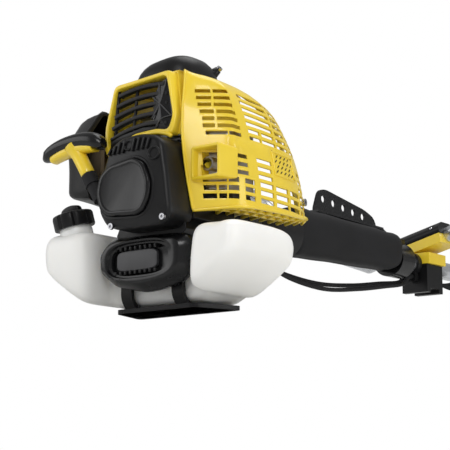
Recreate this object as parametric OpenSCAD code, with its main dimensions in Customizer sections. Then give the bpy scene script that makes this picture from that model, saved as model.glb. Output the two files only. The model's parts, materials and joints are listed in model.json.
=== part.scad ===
// Long-reach petrol hedge trimmer. Origin on the stand face under the crankshaft,
// +Y along the shaft towards the cutter, +X to the exhaust side, +Z up. Millimetres.

/* [Engine] */
// Height of the crankshaft and shaft axis above the ground
axis_h = 119; // [116:1:122]
// Outer radius of the crankcase barrel
case_r = 44; // [40:1:46]
// Radius over the cooling fins of the cylinder
fin_r = 40; // [36:1:42]
// Number of cooling fins
fin_n = 9; // [6:1:10]
// Bore radius of the cylinder
bore_r = 20; // [18:0.5:21]
// Radius of the flywheel over its fan blades
flywheel_r = 47; // [42:1:49]

/* [Covers] */
// Wall thickness of the moulded covers
wall = 3; // [2.4:0.2:3.4]
// Distance of the side cover's outer face from the middle plane
cover_x = 108; // [104:1:110]
// Height of the ventilation slots in the side cover
slot_h = 4.6; // [3.5:0.2:5]
// Number of curved slats in the rear grille
slat_n = 5; // [4:1:6]

/* [Fuel tank] */
// Half of the tank's width
tank_w = 146; // [140:1:150]
// Radius of the fuel cap
cap_r = 24; // [21:1:26]

/* [Starter] */
// Length of the pull handle's bar
pull_bar = 88; // [80:1:96]
// Radius of the starter rope
rope_r = 1.75; // [1.5:0.05:2]
// Radius of the rope groove on the reel
reel_r = 24; // [22:1:25]

/* [Shaft] */
// Outer radius of the shaft tube
tube_r = 13; // [12.8:0.1:13]
// Wall thickness of the shaft tube
tube_wall = 1.6; // [1.4:0.1:1.8]
// Distance of the tube's front end from the crank
tube_end = 1110; // [1040:10:1200]
// Radius of the drive shaft
drive_r = 4; // [3.5:0.1:4]
// Number of strap holes in the hanger plate
hanger_n = 5; // [3:1:5]
// Radius of a strap hole
hanger_hole_r = 5; // [4:0.5:5.5]

/* [Handlebar] */
// Radius of the handlebar tube
bar_r = 11; // [10.5:0.1:11]
// Roll of the handlebar about the shaft, exhaust side up
bar_roll = 14; // [10:1:16]
// Distance of the handlebar clamp from the crank
clamp_y = 552; // [546:1:556]

/* [Cutter] */
// Pitch of the blade teeth
tooth_pitch = 35; // [33:1:36]
// Number of teeth on each side of a blade
tooth_n = 13; // [10:1:13]
// Half of the blade's width over the teeth
blade_half = 42; // [38:1:46]
// Thickness of one blade
blade_t = 2.4; // [2:0.1:2.6]
// Stroke of each blade to either side of the middle
stroke = 8; // [6:0.5:8]

/* [Hidden] */
$fn = 48;
yellow = [0.96, 0.78, 0.08];
black = [0.10, 0.10, 0.11];
charcoal = [0.18, 0.18, 0.19];
white = [0.93, 0.93, 0.91];
steel = [0.66, 0.67, 0.69];
alloy = [0.72, 0.73, 0.74];
// Gap kept between bodies that move past each other
gap = 0.3;
// Radial clearance of a running fit
run = 0.05;

// ---- Shapes used by several sub-parts ----

function unit(v) = v / norm(v);
// Outline with its corners eased by a curve that starts `cut` before each corner
function eased(pts, cut, n = 4) = [for (i = [0 : len(pts) - 1])
    let (p = pts[i], a = pts[(i + len(pts) - 1) % len(pts)], b = pts[(i + 1) % len(pts)],
         la = min(cut, norm(a - p) * 0.45), lb = min(cut, norm(b - p) * 0.45),
         pa = p + unit(a - p) * la, pb = p + unit(b - p) * lb)
    for (k = [0 : n]) let (s = k / n) (1 - s) * (1 - s) * pa + 2 * s * (1 - s) * p + s * s * pb];
// Rectangle with round corners about the origin
module round_rect(w, h, r) {
    square([w - 2 * r, h], center = true);
    square([w, h - 2 * r], center = true);
    for (x = [-1, 1], y = [-1, 1]) translate([x * (w / 2 - r), y * (h / 2 - r)]) circle(r);
}
// Solid from an outline in the X-Z plane between two depths in Y
module along_y(y0, y1) translate([0, y1, 0]) rotate([90, 0, 0]) linear_extrude(y1 - y0) children();
// Solid from an outline in the Y-Z plane between two places in X
module along_x(x0, x1) translate([x0, 0, 0]) rotate([90, 0, 90]) linear_extrude(x1 - x0) children();
// Solid from an outline in the X-Y plane between two heights
module along_z(z0, z1) translate([0, 0, z0]) linear_extrude(z1 - z0) children();
// Round bar on the crank axis
module axis_bar(r, y0, y1) translate([0, y0, axis_h]) rotate([-90, 0, 0]) cylinder(r = r, h = y1 - y0);
// Round bar between two points
module bar_between(a, b, r) {
    d = b - a;
    translate(a) rotate([0, acos(d[2] / norm(d)), atan2(d[1], d[0])]) cylinder(r = r, h = norm(d));
}
// Cap screw with a hexagon socket, its head's underside at the origin and pointing up
module cap_screw(r, len, head_h = 3) {
    difference() {
        cylinder(r = r * 1.8, h = head_h);
        translate([0, 0, head_h - 1.6]) cylinder(r = r * 0.9, h = 2, $fn = 6);
    }
    translate([0, 0, -len]) cylinder(r = r, h = len + 0.01);
}

// ---- Stand, tank and guard ----

// Middles of the two straps
strap_x = [-37, 39];
module strap(x) {
    translate([x - 8, -46, 22]) cube([16, 5, 40]);
    translate([x - 8, -24, 22]) rotate([90, 0, 90]) intersection() {
        difference() {
            cylinder(r = 22, h = 16);
            translate([0, 0, -1]) cylinder(r = 17, h = 18);
        }
        translate([-22, -22, 0]) cube([22, 22, 16]);
    }
}
module skid_base() color(black) {
    difference() {
        along_z(0, 5) polygon(eased([[-60, -38], [58, -38], [78, 22], [-78, 22]], 8));
        for (x = [-50, -8, 34]) translate([x, 8, -1]) along_z(0, 8) round_rect(26, 9, 4);
        for (x = [-12, 12]) translate([x, -18, -1]) along_z(0, 8) round_rect(18, 8, 3.9);
    }
    for (x = strap_x) strap(x);
}

// Tank body, smaller all round by `inset`
module tank_body(inset) {
    w = tank_w - inset;
    intersection() {
        along_y(-82 + inset, 42 - inset) polygon(eased([[-w, 90 - inset], [-w, 68], [-w + 10, 54],
            [-110, 33 + inset], [-78, 15 + inset], [-34, 6 + inset], [34, 6 + inset], [78, 15 + inset],
            [110, 33 + inset], [w - 10, 54], [w, 68], [w, 90 - inset], [w - 26, 98 - inset],
            [84, 96 - inset], [66, 62 - inset], [-66, 62 - inset], [-76, 96 - inset],
            [-w + 26, 99 - inset]], 13));
        along_z(0, 110) polygon(eased([[-w, -58], [-w + 22, -82 + inset], [-80 - inset, -82 + inset],
            [-68 - inset, -38 + inset], [68 + inset, -38 + inset], [80 + inset, -82 + inset],
            [w - 22, -82 + inset], [w, -58], [w, 26 - inset], [w - 20, 42 - inset],
            [-w + 20, 42 - inset], [-w, 26 - inset]], 16));
    }
}
// Root and lean of the filler neck
cap_at = [-108, -56, 97];
cap_tilt = [10, -10, 0];
module at_cap() translate(cap_at) rotate(cap_tilt) children();
module fuel_tank() color(white) {
    difference() {
        union() {
            tank_body(0);
            at_cap() translate([0, 0, -9]) cylinder(r = 19, h = 23);
        }
        tank_body(2.6);
        at_cap() translate([0, 0, -24]) cylinder(r = 15.5, h = 50);
    }
}
module fuel_cap() color(black) {
    at_cap() difference() {
        union() {
            translate([0, 0, 6.9]) cylinder(r = cap_r, h = 17.4);
            translate([-14, -4.5, 24]) cube([28, 9, 9]);
        }
        translate([0, 0, 5]) cylinder(r = 19.3, h = 13.5);
        for (a = [0 : 45 : 315]) rotate(a) translate([cap_r + 1.5, 0, 5]) cylinder(r = 3.5, h = 30);
    }
}
module fuel_line() color([0.75, 0.7, 0.45]) {
    translate([-100, -10, 40]) cylinder(r = 7, h = 16);
    translate([-100, -10, 55]) cylinder(r = 2.5, h = 34);
}

// Outline of the lower guard from behind
guard_pts = [[-61, 66], [-50, 79], [-36, 84], [60, 80], [68, 70], [66, 38], [52, 26], [0, 19],
    [-37, 28], [-60, 46]];
module tank_guard() color(black) {
    difference() {
        along_y(-70, -48) polygon(eased(guard_pts, 4));
        translate([4, 0, 56]) along_y(-71, -60) round_rect(92, 42, 20.9);
        along_y(-59, -47) polygon(eased([[-54, 64], [-44, 75], [-34, 79], [54, 75], [62, 66],
            [60, 40], [48, 30], [0, 24], [-34, 32], [-54, 49]], 4));
    }
    for (k = [0 : 6]) {
        translate([-30 + k * 9, -63, 70]) cube([4, 4, 5]);
        translate([-30 + k * 9, -63, 38]) cube([4, 4, 5]);
    }
    translate([33, -65, 46]) cube([4, 6, 20]);
    for (x = strap_x) translate([x - 6, -59.5, 62]) cube([12, 18, 8]);
}
module guard_label() color(charcoal)
    translate([-7, 0, 56.5]) along_y(-63.2, -61.2) round_rect(58, 22, 7);

// ---- Engine internals ----

module crankcase() color(alloy) {
    difference() {
        union() {
            axis_bar(case_r, -48, 34);
            axis_bar(56, 29, 34.9);
            translate([-30, -34, axis_h]) cube([60, 62, 52]);
            translate([-40, -20, 66]) cube([80, 30, 14]);
        }
        axis_bar(case_r - 6, -30, 26);
        axis_bar(15, -49, 35);
        translate([0, 0, axis_h]) cylinder(r = bore_r + 3.2, h = 60);
    }
}
module crankshaft() color(steel) {
    axis_bar(7, -66, -12);
    axis_bar(7, 12, 60);
    for (y = [-17, 6.5]) difference() {
        axis_bar(30, y, y + 10);
        translate([-31, y - 1, axis_h + 9]) cube([62, 12, 30]);
    }
    for (y = [-17, 6.5]) translate([-9, y, axis_h]) cube([18, 10, 22]);
    translate([0, -8, axis_h + 15]) rotate([-90, 0, 0]) cylinder(r = 6, h = 15);
}
module crank_bearings() color(steel) for (y = [-44, 22]) difference() {
    axis_bar(14.9, y, y + 10);
    axis_bar(7.1, y - 1, y + 11);
}
module connecting_rod() color(steel) translate([0, 0, axis_h]) difference() {
    union() {
        translate([0, -4, 15]) rotate([-90, 0, 0]) cylinder(r = 10, h = 8);
        translate([-4.5, -4, 20]) cube([9, 8, 40]);
        translate([0, -4, 66]) rotate([-90, 0, 0]) cylinder(r = 8, h = 8);
    }
    translate([0, -5, 15]) rotate([-90, 0, 0]) cylinder(r = 6.1, h = 10);
    translate([0, -5, 66]) rotate([-90, 0, 0]) cylinder(r = 4.6, h = 10);
}
module piston() color(alloy) translate([0, 0, axis_h]) {
    difference() {
        translate([0, 0, 54]) cylinder(r = bore_r - 0.1, h = 26);
        translate([0, 0, 53]) cylinder(r = bore_r - 4, h = 22);
        for (z = [72, 75.5]) translate([0, 0, z]) difference() {
            cylinder(r = bore_r + 1, h = 1.4);
            translate([0, 0, -1]) cylinder(r = bore_r - 1.6, h = 4);
        }
    }
    translate([0, -17, 66]) rotate([-90, 0, 0]) cylinder(r = 4.5, h = 34);
}
// Height of the cylinder's foot
cyl_z = axis_h + 52.2;
module cylinder_barrel() difference() {
    union() {
        translate([0, 0, cyl_z]) cylinder(r = 27, h = 60);
        for (k = [0 : fin_n - 1]) translate([0, 7, cyl_z + 12 + k * 5.7])
            along_z(0, 1.8) round_rect(2 * fin_r, 2 * fin_r - 8, 12);
        translate([-30, -32, cyl_z]) cube([60, 60.8, 5]);
    }
    translate([0, 0, cyl_z - 1]) cylinder(r = bore_r, h = 46);
    translate([0, 0, cyl_z + 40]) cylinder(r = 5, h = 40);
}
module cylinder_part() color(alloy) {
    cylinder_barrel();
    translate([26, -12, cyl_z + 2]) cube([23.8, 24, 22]);
    translate([-43.5, -12, cyl_z + 6]) cube([17.5, 24, 22]);
}
module spark_plug() color(white) translate([0, 0, cyl_z]) {
    translate([0, 0, 48]) cylinder(r = 4.9, h = 14);
    translate([0, 0, 64.4]) cylinder(r = 9, h = 6, $fn = 6);
    translate([0, 0, 60]) cylinder(r = 4.9, h = 6);
    translate([0, 0, 70]) cylinder(r = 5, h = 14);
}
module plug_cap() color(black) translate([0, 0, cyl_z + 72]) difference() {
    union() {
        cylinder(r = 8, h = 18);
        translate([0, 0, 11]) rotate([-90, 0, 0]) cylinder(r = 5.5, h = 26);
    }
    translate([0, 0, -1]) cylinder(r = 5.1, h = 14);
}
module flywheel() color(alloy) {
    difference() {
        axis_bar(34, 42, 56);
        axis_bar(7.1, 41, 57);
    }
    for (a = [0 : 30 : 330]) translate([0, 43, axis_h]) rotate([0, a, 0])
        translate([32, 0, -1.5]) cube([flywheel_r - 32, 12, 3]);
}
module clutch_shoes() color(charcoal) {
    difference() {
        axis_bar(26, 61, 73);
        axis_bar(7.2, 60, 74);
        for (a = [0, 90]) translate([0, 67, axis_h])
             rotate([0, a + 45, 0]) cube([60, 14, 4], center = true);
    }
    difference() {
        axis_bar(9.5, 59, 61.2);
        axis_bar(7.2, 58, 62);
    }
}
module clutch_drum() color(steel) difference() {
    union() {
        axis_bar(30, 60, 80);
        axis_bar(9, 79, 112);
    }
    axis_bar(27, 59, 76);
    axis_bar(drive_r, 84, 113);
}
module clutch_housing() color(black) translate([0, 0, axis_h])
    rotate([-90, 0, 0]) rotate_extrude() difference() {
    polygon([[0, 35], [55, 35], [56.6, 40], [55, 72], [40, 96], [33, 118], [33, 206], [0, 206]]);
    polygon([[-1, 34], [50, 34], [52, 42], [50, 68], [36, 90], [20, 96], [20, 104], [9.4, 104],
        [9.4, 120], [tube_r, 120], [tube_r, 207], [-1, 207]]);
}
module muffler() color(steel) {
    difference() {
        along_z(130, 198) polygon(eased([[50, -36], [76, -36], [92, -23], [92, 28], [50, 28]], 6));
        along_z(132, 196) polygon(eased([[52, -34], [75.3, -34], [90, -22], [90, 26], [52, 26]], 5));
        translate([80, -20, 157]) rotate([90, 0, 0]) cylinder(r = 6, h = 30);
    }
    difference() {
        translate([80, -27, 157]) rotate([90, 0, 0]) cylinder(r = 8, h = 16);
        translate([80, -20, 157]) rotate([90, 0, 0]) cylinder(r = 6, h = 30);
    }
    for (x = [58, 70]) translate([x, -37.5, 132]) cube([3, 2, 64]);
}
module carburetor() color(alloy) {
    difference() {
        translate([-86, -18, 158]) cube([34, 36, 38]);
        translate([-87, 0, 178]) rotate([0, 90, 0]) cylinder(r = 9, h = 36);
        translate([-72, -6, 157]) cylinder(r = 9.5, h = 9);
        translate([-75, -10, 188]) rotate([90, 0, 0]) cylinder(r = 1.95 + run, h = 12);
    }
    difference() {
        translate([-52, 0, 178]) rotate([0, 90, 0]) cylinder(r = 13, h = 8.3);
        translate([-53, 0, 178]) rotate([0, 90, 0]) cylinder(r = 9, h = 10);
    }
}
module air_filter_element() color([0.85, 0.8, 0.7]) translate([-110, -34, 160]) difference() {
    cube([18, 60, 46]);
    translate([4, 6, 6]) cube([15, 48, 34]);
}
// Outline of the air filter cover from the side
filter_pts = [[-52, 138], [44, 130], [46, 190], [30, 226], [0, 240], [-34, 248], [-58, 214]];
module air_filter_cover() color(black) difference() {
    along_x(-138, -89) polygon(eased(filter_pts, 20));
    along_x(-134, -88)
        polygon(eased([for (p = filter_pts) [(p[0] + 6) * 0.93 - 6, (p[1] - 186) * 0.94 + 186]], 18));
    for (k = [0 : 3]) translate([-139, -20 + k * 12, 148]) cube([6, 5, 22]);
}
module choke_lever() color(yellow) translate([-75, -19.4, 188]) rotate([90, 0, 0]) {
    cylinder(r = 5, h = 4);
    translate([-3, 0, 0.4]) rotate([0, 0, 60]) cube([23, 6, 3]);
    translate([0, 0, -5]) cylinder(r = 1.95, h = 6);
}
module primer_bulb() color([0.9, 0.9, 0.85]) translate([-72, -6, 150]) {
    cylinder(r = 9, h = 12);
    translate([0, 0, -4]) cylinder(r = 6.5, h = 4.1);
}

// ---- Starter ----

// Outlines of the starter housing and its plate from behind
starter_pts = [[-30, 92], [-12, 86], [52, 85], [66, 96], [53, 178], [44, 187], [20, 192], [-8, 191],
    [-26, 181], [-35, 160], [-43, 135], [-41, 108]];
badge_pts = [[-20, 158], [16, 163], [30, 156], [39, 136], [38, 118], [30, 104], [20, 100],
    [-22, 103], [-33, 113], [-38, 130], [-34, 148]];
module starter_housing() color(black) difference() {
    union() {
        along_y(-90, -50) polygon(eased(starter_pts, 6));
        translate([-50, -90, 108]) cube([14, 19, 22]);
    }
    along_y(-87, -49)
        polygon(eased([for (p = starter_pts) [(p[0] - 8) * 0.93 + 8, (p[1] - 138) * 0.94 + 138]], 6));
    along_y(-91, -89) polygon(eased(badge_pts, 4));
    for (k = [0 : 3]) for (s = [-20, 12]) translate([s + k * 5.4, -88, 180]) rotate([0, 12, 0])
        cube([2.6, 8, 12], center = true);
    translate([42, 0, 166]) along_y(-91, -86) round_rect(16, 9, 4.4);
    at_pull() translate([0, 0, -30]) cylinder(r = 2.6, h = 60);
    at_pull() cylinder(r = 8.2, h = 40);
}
module starter_badge() color(charcoal) along_y(-96, -89.2)
    polygon(eased([for (p = badge_pts) [(p[0] - 1) * 0.985 + 1, (p[1] - 131) * 0.985 + 131]], 4));
module starter_reel() color(black) difference() {
    union() {
        axis_bar(reel_r, -82, -72);
        for (y = [-83, -73]) axis_bar(reel_r + 5, y, y + 1.6);
    }
    axis_bar(7.1, -84, -65);
}
module recoil_spring() color(steel) for (r = [12, 15, 18, 21]) difference() {
    axis_bar(r, -70.8, -67);
    axis_bar(r - 1, -71.5, -66);
}
// Where the starter rope leaves, and the lean of its line
pull_at = [-46, -80.5, 125];
pull_tilt = [0, -32, 0];
bar_l = 84;
bar_turn = 117;
module at_pull() translate(pull_at) rotate(pull_tilt) children();
module rope_guide() color(black) at_pull() difference() {
    union() {
        translate([0, 0, 0.2]) cylinder(r = 8, h = 22);
        translate([0, 0, 22]) cylinder(r = 9.4, h = 15);
    }
    translate([0, 0, -3]) cylinder(r = 2.6, h = 40);
}
module starter_rope() color(charcoal) at_pull() translate([0, 0, 20]) cylinder(r = rope_r, h = 30);
module starter_handle() color(yellow) at_pull() difference() {
    union() {
        translate([0, 0, 37.6]) cylinder(r = 8.4, h = bar_l - 40);
        translate([0, 0, bar_l])
            rotate([0, bar_turn, 0]) translate([0, 0, -pull_bar / 2]) cylinder(r = 9, h = pull_bar);
    }
    translate([0, 0, 37]) cylinder(r = rope_r, h = 13);
    translate([0, 0, bar_l])
        rotate([0, bar_turn, 0]) translate([-18, -12, -pull_bar / 2 - 1]) cube([13, 24, pull_bar + 2]);
}
module handle_overmould() color(black) at_pull() translate([0, 0, bar_l]) rotate([0, bar_turn, 0]) {
    intersection() {
        translate([0, 0, -pull_bar / 2]) cylinder(r = 10, h = pull_bar);
        translate([-18, -12, -pull_bar / 2 - 1]) cube([13, 24, pull_bar + 2]);
    }
    for (z = [-pull_bar / 2 - 4, pull_bar / 2]) translate([0, 0, z]) cylinder(r = 10.5, h = 4);
}

// ---- Yellow covers and their black inserts ----

// Outlines of the shroud and of its rear window
shroud_pts = [[-46, 146], [-58, 170], [-58, 214], [-44, 263], [42, 268], [49.6, 214], [45, 193.4],
    [37, 193], [22, 197], [-10, 196], [-31, 186], [-39, 160]];
window_pts = [[-50, 214], [-39, 256], [34, 261], [45, 214], [40, 198], [22, 202], [-12, 201],
    [-34, 192], [-48, 196]];
module top_shroud() color(yellow) {
    difference() {
        along_y(-64, -30) polygon(eased(shroud_pts, 4));
        along_y(-65, -52) polygon(eased(window_pts, 3));
        along_y(-58, -29)
            polygon(eased([[-55, 150], [-55, 213], [-42, 259], [39, 264], [46.6, 214], [42, 197],
            [22, 200], [-10, 199], [-34, 189], [-43, 166]], 3));
    }
    difference() {
        along_y(-30, 62) polygon(eased([[-58, 200], [-44, 263], [42, 268], [49, 240], [49, 206]], 4));
        along_y(-31, 63)
            polygon([[-56, 190], [-55, 201], [-41.5, 260], [39, 265], [46, 240], [46, 190]]);
    }
}
module rear_grille() color(black) intersection() {
    along_y(-62, -52.3)
        polygon(eased([for (p = window_pts) [(p[0] + 2) * 0.985 - 2, (p[1] - 228) * 0.985 + 228]], 3));
    union() {
        for (k = [0 : slat_n - 1]) along_y(-61, -57) translate([6, 60]) difference() {
            circle(r = 146 + k * 12, $fn = 120);
            circle(r = 140 + k * 12, $fn = 120);
        }
        along_y(-62, -56)
            polygon([[20, 200], [16, 235], [30, 258], [34, 270], [44, 270], [44, 180], [34, 190]]);
        along_y(-58, -54) translate([-50, 190]) square([6, 70]);
        along_y(-58, -54) translate([-14, 190]) square([4, 76]);
    }
}
module top_cap() color(black) difference() {
    intersection() {
        along_y(-36, 64)
            polygon(eased([[-42, 265], [-38, 288], [-18, 305], [16, 307], [36, 296], [42, 268.8]], 12));
        along_x(-44, 44)
            polygon(eased([[-36, 264], [-30, 292], [-6, 306], [30, 304], [58, 290], [64, 264]], 14));
    }
    intersection() {
        along_y(-33, 61)
            polygon(eased([[-39, 263], [-35, 286], [-17, 302], [15, 304], [33, 293], [39, 268]], 12));
        along_x(-41, 41)
            polygon(eased([[-33, 263], [-27, 289], [-5, 303], [28, 301], [55, 287], [61, 263]], 14));
    }
}

// Outlines of the side cover: from above, from the side and from behind
plan_pts = [[52, -60], [60, -58], [102, -27], [cover_x, -8], [cover_x, 40], [cover_x - 4, 84],
    [94, 122], [68, 160], [44, 170], [44, 60]];
side_pts = [[-62, 98], [-62, 240], [-52, 267], [10, 263], [62, 258], [98, 251], [122, 236], [142, 214],
    [156, 186], [168, 158], [172, 132], [130, 114], [60, 100]];
rear_pts = [[50, 272], [62, 269], [76, 260], [88, 243], [97, 218], [102, 190], [cover_x, 150],
    [cover_x, 108], [cover_x - 4, 98], [80, 98], [54, 182], [50, 188]];
module cover_body(t) intersection() {
    along_z(98 + t, 272 - t) offset_in(plan_pts, [76, 45], t);
    along_x(44, cover_x + 1) offset_in(side_pts, [46, 185], t);
    along_y(-80, 175) offset_in(rear_pts, [78, 185], t);
}
// Outline drawn in towards a centre so that it lies about `t` inside
module offset_in(pts, c, t)
    polygon(eased([for (p = pts) p + (c - p) * (t / max(30, norm(c - p)) * 1.2)], 10));
// Rows of the side cover: height, and the spans of Y that are open
upper_rows = [for (k = [0 : 6]) [246 - k * 9.2 - (k > 4 ? 2 : 0), k]];
lower_rows = [for (k = [0 : 2]) 108 + k * 10];
// Places something on the slanted rear face of the side cover
module at_plate(z) translate([60, -58, z]) rotate([0, 0, 36.5]) children();
module muffler_guard() color(yellow) difference() {
    union() {
        difference() {
            cover_body(0);
            cover_body(wall);
            translate([40, -48, 104]) cube([34, 192, 121]);
        }
        along_y(-56, -30) translate([87, 156.5]) square([40, 38], center = true);
    }
    along_y(-57, -33) translate([87, 156.5]) square([34, 32], center = true);
    translate([48, -37.5, 129]) cube([39, 40, 71]);
    translate([80, -25, 157]) rotate([90, 0, 0]) cylinder(r = 9, h = 22);
    for (r = upper_rows) {
        for (d = [9, 30]) at_plate(r[0]) translate([d + r[1], -14, 0]) cube([18, 28, slot_h]);
        translate([76, -2 + r[1] * 2, r[0] - 1]) cube([60, 30, slot_h]);
        translate([70, 34 + r[1] * 2, r[0] - 2]) cube([60, 38, slot_h]);
        translate([50, 80 + r[1] * 2, r[0] - 4]) cube([80, 40, slot_h]);
    }
    for (z = lower_rows) {
        for (d = [14, 34]) at_plate(z + 2) translate([d, -14, 0]) cube([17, 28, slot_h + 1]);
        translate([80, -2, z + 2]) cube([60, 30, slot_h + 1]);
        translate([80, 34, z + 3]) cube([60, 36, slot_h + 1]);
        translate([50, 76, z + 8]) cube([80, 50, slot_h + 1]);
    }
    for (z = [148, 158, 168], y = [-24, 6]) translate([80, y, z]) cube([60, y < 0 ? 16 : 24, slot_h]);
    for (k = [0 : 3]) translate([84, -22 + k * 24, 90]) cube([16, 17, 18]);
}

// ---- Shaft, hip pad and hanger ----

module shaft_tube() color(steel) difference() {
    axis_bar(tube_r, 121, tube_end);
    axis_bar(tube_r - tube_wall, 120, tube_end + 1);
}
module drive_shaft() color(steel) axis_bar(drive_r, 84.2, tube_end + 26);
bushing_y = [for (k = [0 : 3]) 230 + k * 270];
module tube_bushings() color(black) for (y = bushing_y) difference() {
    axis_bar(tube_r - tube_wall, y, y + 24);
    axis_bar(drive_r + run, y - 1, y + 25);
}
pad_y = [212, 458];
module hip_pad() color(charcoal) difference() {
    intersection() {
        along_x(-30, 30) polygon(eased([[pad_y[0], 93], [pad_y[0], 159], [pad_y[1], 155],
            [pad_y[1], 101]], 12));
        along_y(pad_y[0], pad_y[1]) translate([0, 126]) round_rect(56, 66, 20);
    }
    axis_bar(tube_r, pad_y[0] - 1, pad_y[1] + 1);
}
hanger_y = 296;
hanger_pitch = 24;
hole_at = [for (k = [0 : hanger_n - 1]) [hanger_y + k * hanger_pitch, 180 - k * 2.6]];
module hanger_plate() color(black) {
    difference() {
        along_x(-1.5, 1.5) polygon(eased([[272, 159.6], [284, 190], [300, 194], [396, 180], [420, 172],
            [428, 157.2]], 8));
        for (p = hole_at) translate([-2, p[0], p[1]]) rotate([0, 90, 0]) cylinder(r = hanger_hole_r, h = 4);
    }
    along_x(-11, 11) polygon([[270, 158.2], [270, 161.2], [430, 158.6], [430, 155.6]]);
    along_x(-9, 9) polygon([[430, 155.6], [430, 158.6], [462, 146.4], [462, 143.4]]);
}
module pad_collar() color(black) difference() {
    union() {
        axis_bar(25, pad_y[1] + 0.2, pad_y[1] + 34);
        translate([-10, pad_y[1] + 4, axis_h + 18]) cube([20, 26, 12]);
    }
    axis_bar(tube_r, pad_y[1] - 1, pad_y[1] + 36);
    translate([-1.5, pad_y[1] - 1, axis_h + 10]) cube([3, 40, 30]);
    translate([-9.4, pad_y[1] - 1, axis_h + 22]) cube([18.8, 7, 12]);
}
module cable_clip() color(black) difference() {
    union() {
        axis_bar(16, 516, 525);
        translate([-9, 516, 94]) cube([18, 9, 16]);
    }
    axis_bar(tube_r, 515, 526);
    for (x = [-4, 4]) translate([x, 515, 99]) rotate([-90, 0, 0]) cylinder(r = 3.6, h = 11);
}

// Cables: from the engine under the hip pad, through the clip and up to the handlebar
throttle_route = [[-68, 18.2, 172], [-66, 54, 166], [-52, 96, 128], [-30, 144, 94], [-8, 210, 72],
    [-5, 290, 66], [-5, 370, 72], [-4, 440, 82], [-4, 490, 89], [-4, 512, 99], [-4, 560, 99],
    [-4, 585, 98], [12, 615, 98], [60, 634, 122], [120, 630, 184], [168, 606, 252],
    [194, 556, 312], [200, 500, 340], [199, 457, 351]];
switch_route = [[41, 27, 77], [52, 58, 74], [36, 100, 80], [16, 150, 76], [6, 210, 64],
    [5, 290, 58], [5, 370, 66], [4, 440, 77], [4, 490, 86], [4, 512, 99], [4, 560, 99],
    [4, 585, 98], [24, 620, 90], [72, 646, 112], [130, 644, 176], [174, 622, 244],
    [203, 575, 296], [211, 508, 326], [194, 462, 345]];
// Point on a smooth curve through the route at place s
function curve(p, s) = let (n = len(p) - 1, i = min(n - 1, floor(s)), f = s - i,
    a = p[max(0, i - 1)], b = p[i], c = p[i + 1], d = p[min(n, i + 2)])
    0.5 * (2 * b + (c - a) * f + (2 * a - 5 * b + 4 * c - d) * f * f + (3 * b - a - 3 * c + d) * f * f * f);
function cross_unit(a, b) = unit(cross(a, b));
module cable(route, r, rings = 39, sides = 8) {
    pts = [for (k = [0 : rings]) curve(route, k * (len(route) - 1) / rings)];
    dirs = [for (k = [0 : rings]) unit(pts[min(rings, k + 1)] - pts[max(0, k - 1)])];
    ring_pts = [for (k = [0 : rings]) let (u = cross_unit(dirs[k], [1, 0.01, 0.3]), v = cross(dirs[k], u))
        for (j = [0 : sides - 1]) pts[k] + r * (cos(j * 360 / sides) * u + sin(j * 360 / sides) * v)];
    sides_faces = [for (k = [0 : rings - 1]) for (j = [0 : sides - 1]) let (a = k * sides + j,
        b = k * sides + (j + 1) % sides) each [[a, a + sides, b], [b, a + sides, b + sides]]];
    caps = [[for (j = [0 : sides - 1]) j], [for (j = [sides - 1 : -1 : 0]) rings * sides + j]];
    polyhedron(ring_pts, concat(sides_faces, caps));
}
module throttle_cable() color(black) cable(throttle_route, 2.9);
module switch_lead() color(black) cable(switch_route, 2.9);

// ---- Handlebar ----

bar_z = axis_h + tube_r + bar_r + 8;
module at_bar() translate([0, clamp_y, bar_z]) rotate([0, -bar_roll, 0]) children();
bar_pts = [[0, 0, 0], [95, 0, 0], [180, -18, 60], [225, -50, 140], [240, -84, 170], [252, -190, 196]];
module bar_side(side) {
    p = [for (q = bar_pts) [q[0] * side, q[1], q[2]]];
    for (k = [0 : len(p) - 2]) bar_between(p[k], p[k + 1], bar_r);
    for (k = [1 : len(p) - 2]) translate(p[k]) sphere(r = bar_r + 0.25);
}
module handlebar() color(steel) at_bar() {
    bar_side(1);
    bar_side(-1);
}
// Places something on a grip: its length runs along +Z from the bar's last bend
module at_grip(side) at_bar() translate([bar_pts[4][0] * side, bar_pts[4][1], bar_pts[4][2]])
    rotate([76.2, 0, side * 6.5]) children();
grip_len = norm(bar_pts[5] - bar_pts[4]);
module left_grip() color(black) at_grip(-1) difference() {
    union() {
        translate([0, 0, 6]) cylinder(r = 16, h = grip_len);
        for (z = [6, grip_len + 2]) translate([0, 0, z]) cylinder(r = 19, h = 5);
    }
    translate([0, 0, 5]) cylinder(r = bar_r, h = grip_len - 4.9);
}
module throttle_housing() color(black) at_grip(1) difference() {
    union() {
        translate([0, 0, 6]) cylinder(r = 17, h = grip_len + 4);
        translate([0, -8, 6]) along_z(0, 44) round_rect(42, 50, 12);
    }
    translate([0, 0, 5]) cylinder(r = bar_r, h = grip_len - 4.9);
    translate([-5, -60, 12]) cube([10, 46, 80]);
    translate([-5, 14, 14]) cube([10, 30, 26]);
    translate([-40, -8, 18]) cube([23, 14, 20]);
}
module throttle_trigger() color(charcoal) at_grip(1) {
    translate([-4.5, -24, 20]) rotate([0, 90, 0]) cylinder(r = 5, h = 9);
    translate([-4.5, -38, 20]) rotate([-9, 0, 0]) cube([9, 12, 58]);
    translate([-4.5, -34, 17]) cube([9, 14, 9]);
}
module throttle_lockout() color(charcoal) at_grip(1) difference() {
    along_x(-4.5, 4.5)
        polygon([[15.4, 18], [21.4, 18], [23, 36], [29, 62], [24, 63], [18.4, 40], [15.4, 32]]);
    translate([-6, 18.4, 21]) rotate([0, 90, 0]) cylinder(r = 1.4, h = 12);
}
module stop_switch() color([0.8, 0.15, 0.1]) at_grip(1) translate([-25, -6.5, 20]) cube([5.2, 11, 16]);

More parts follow.
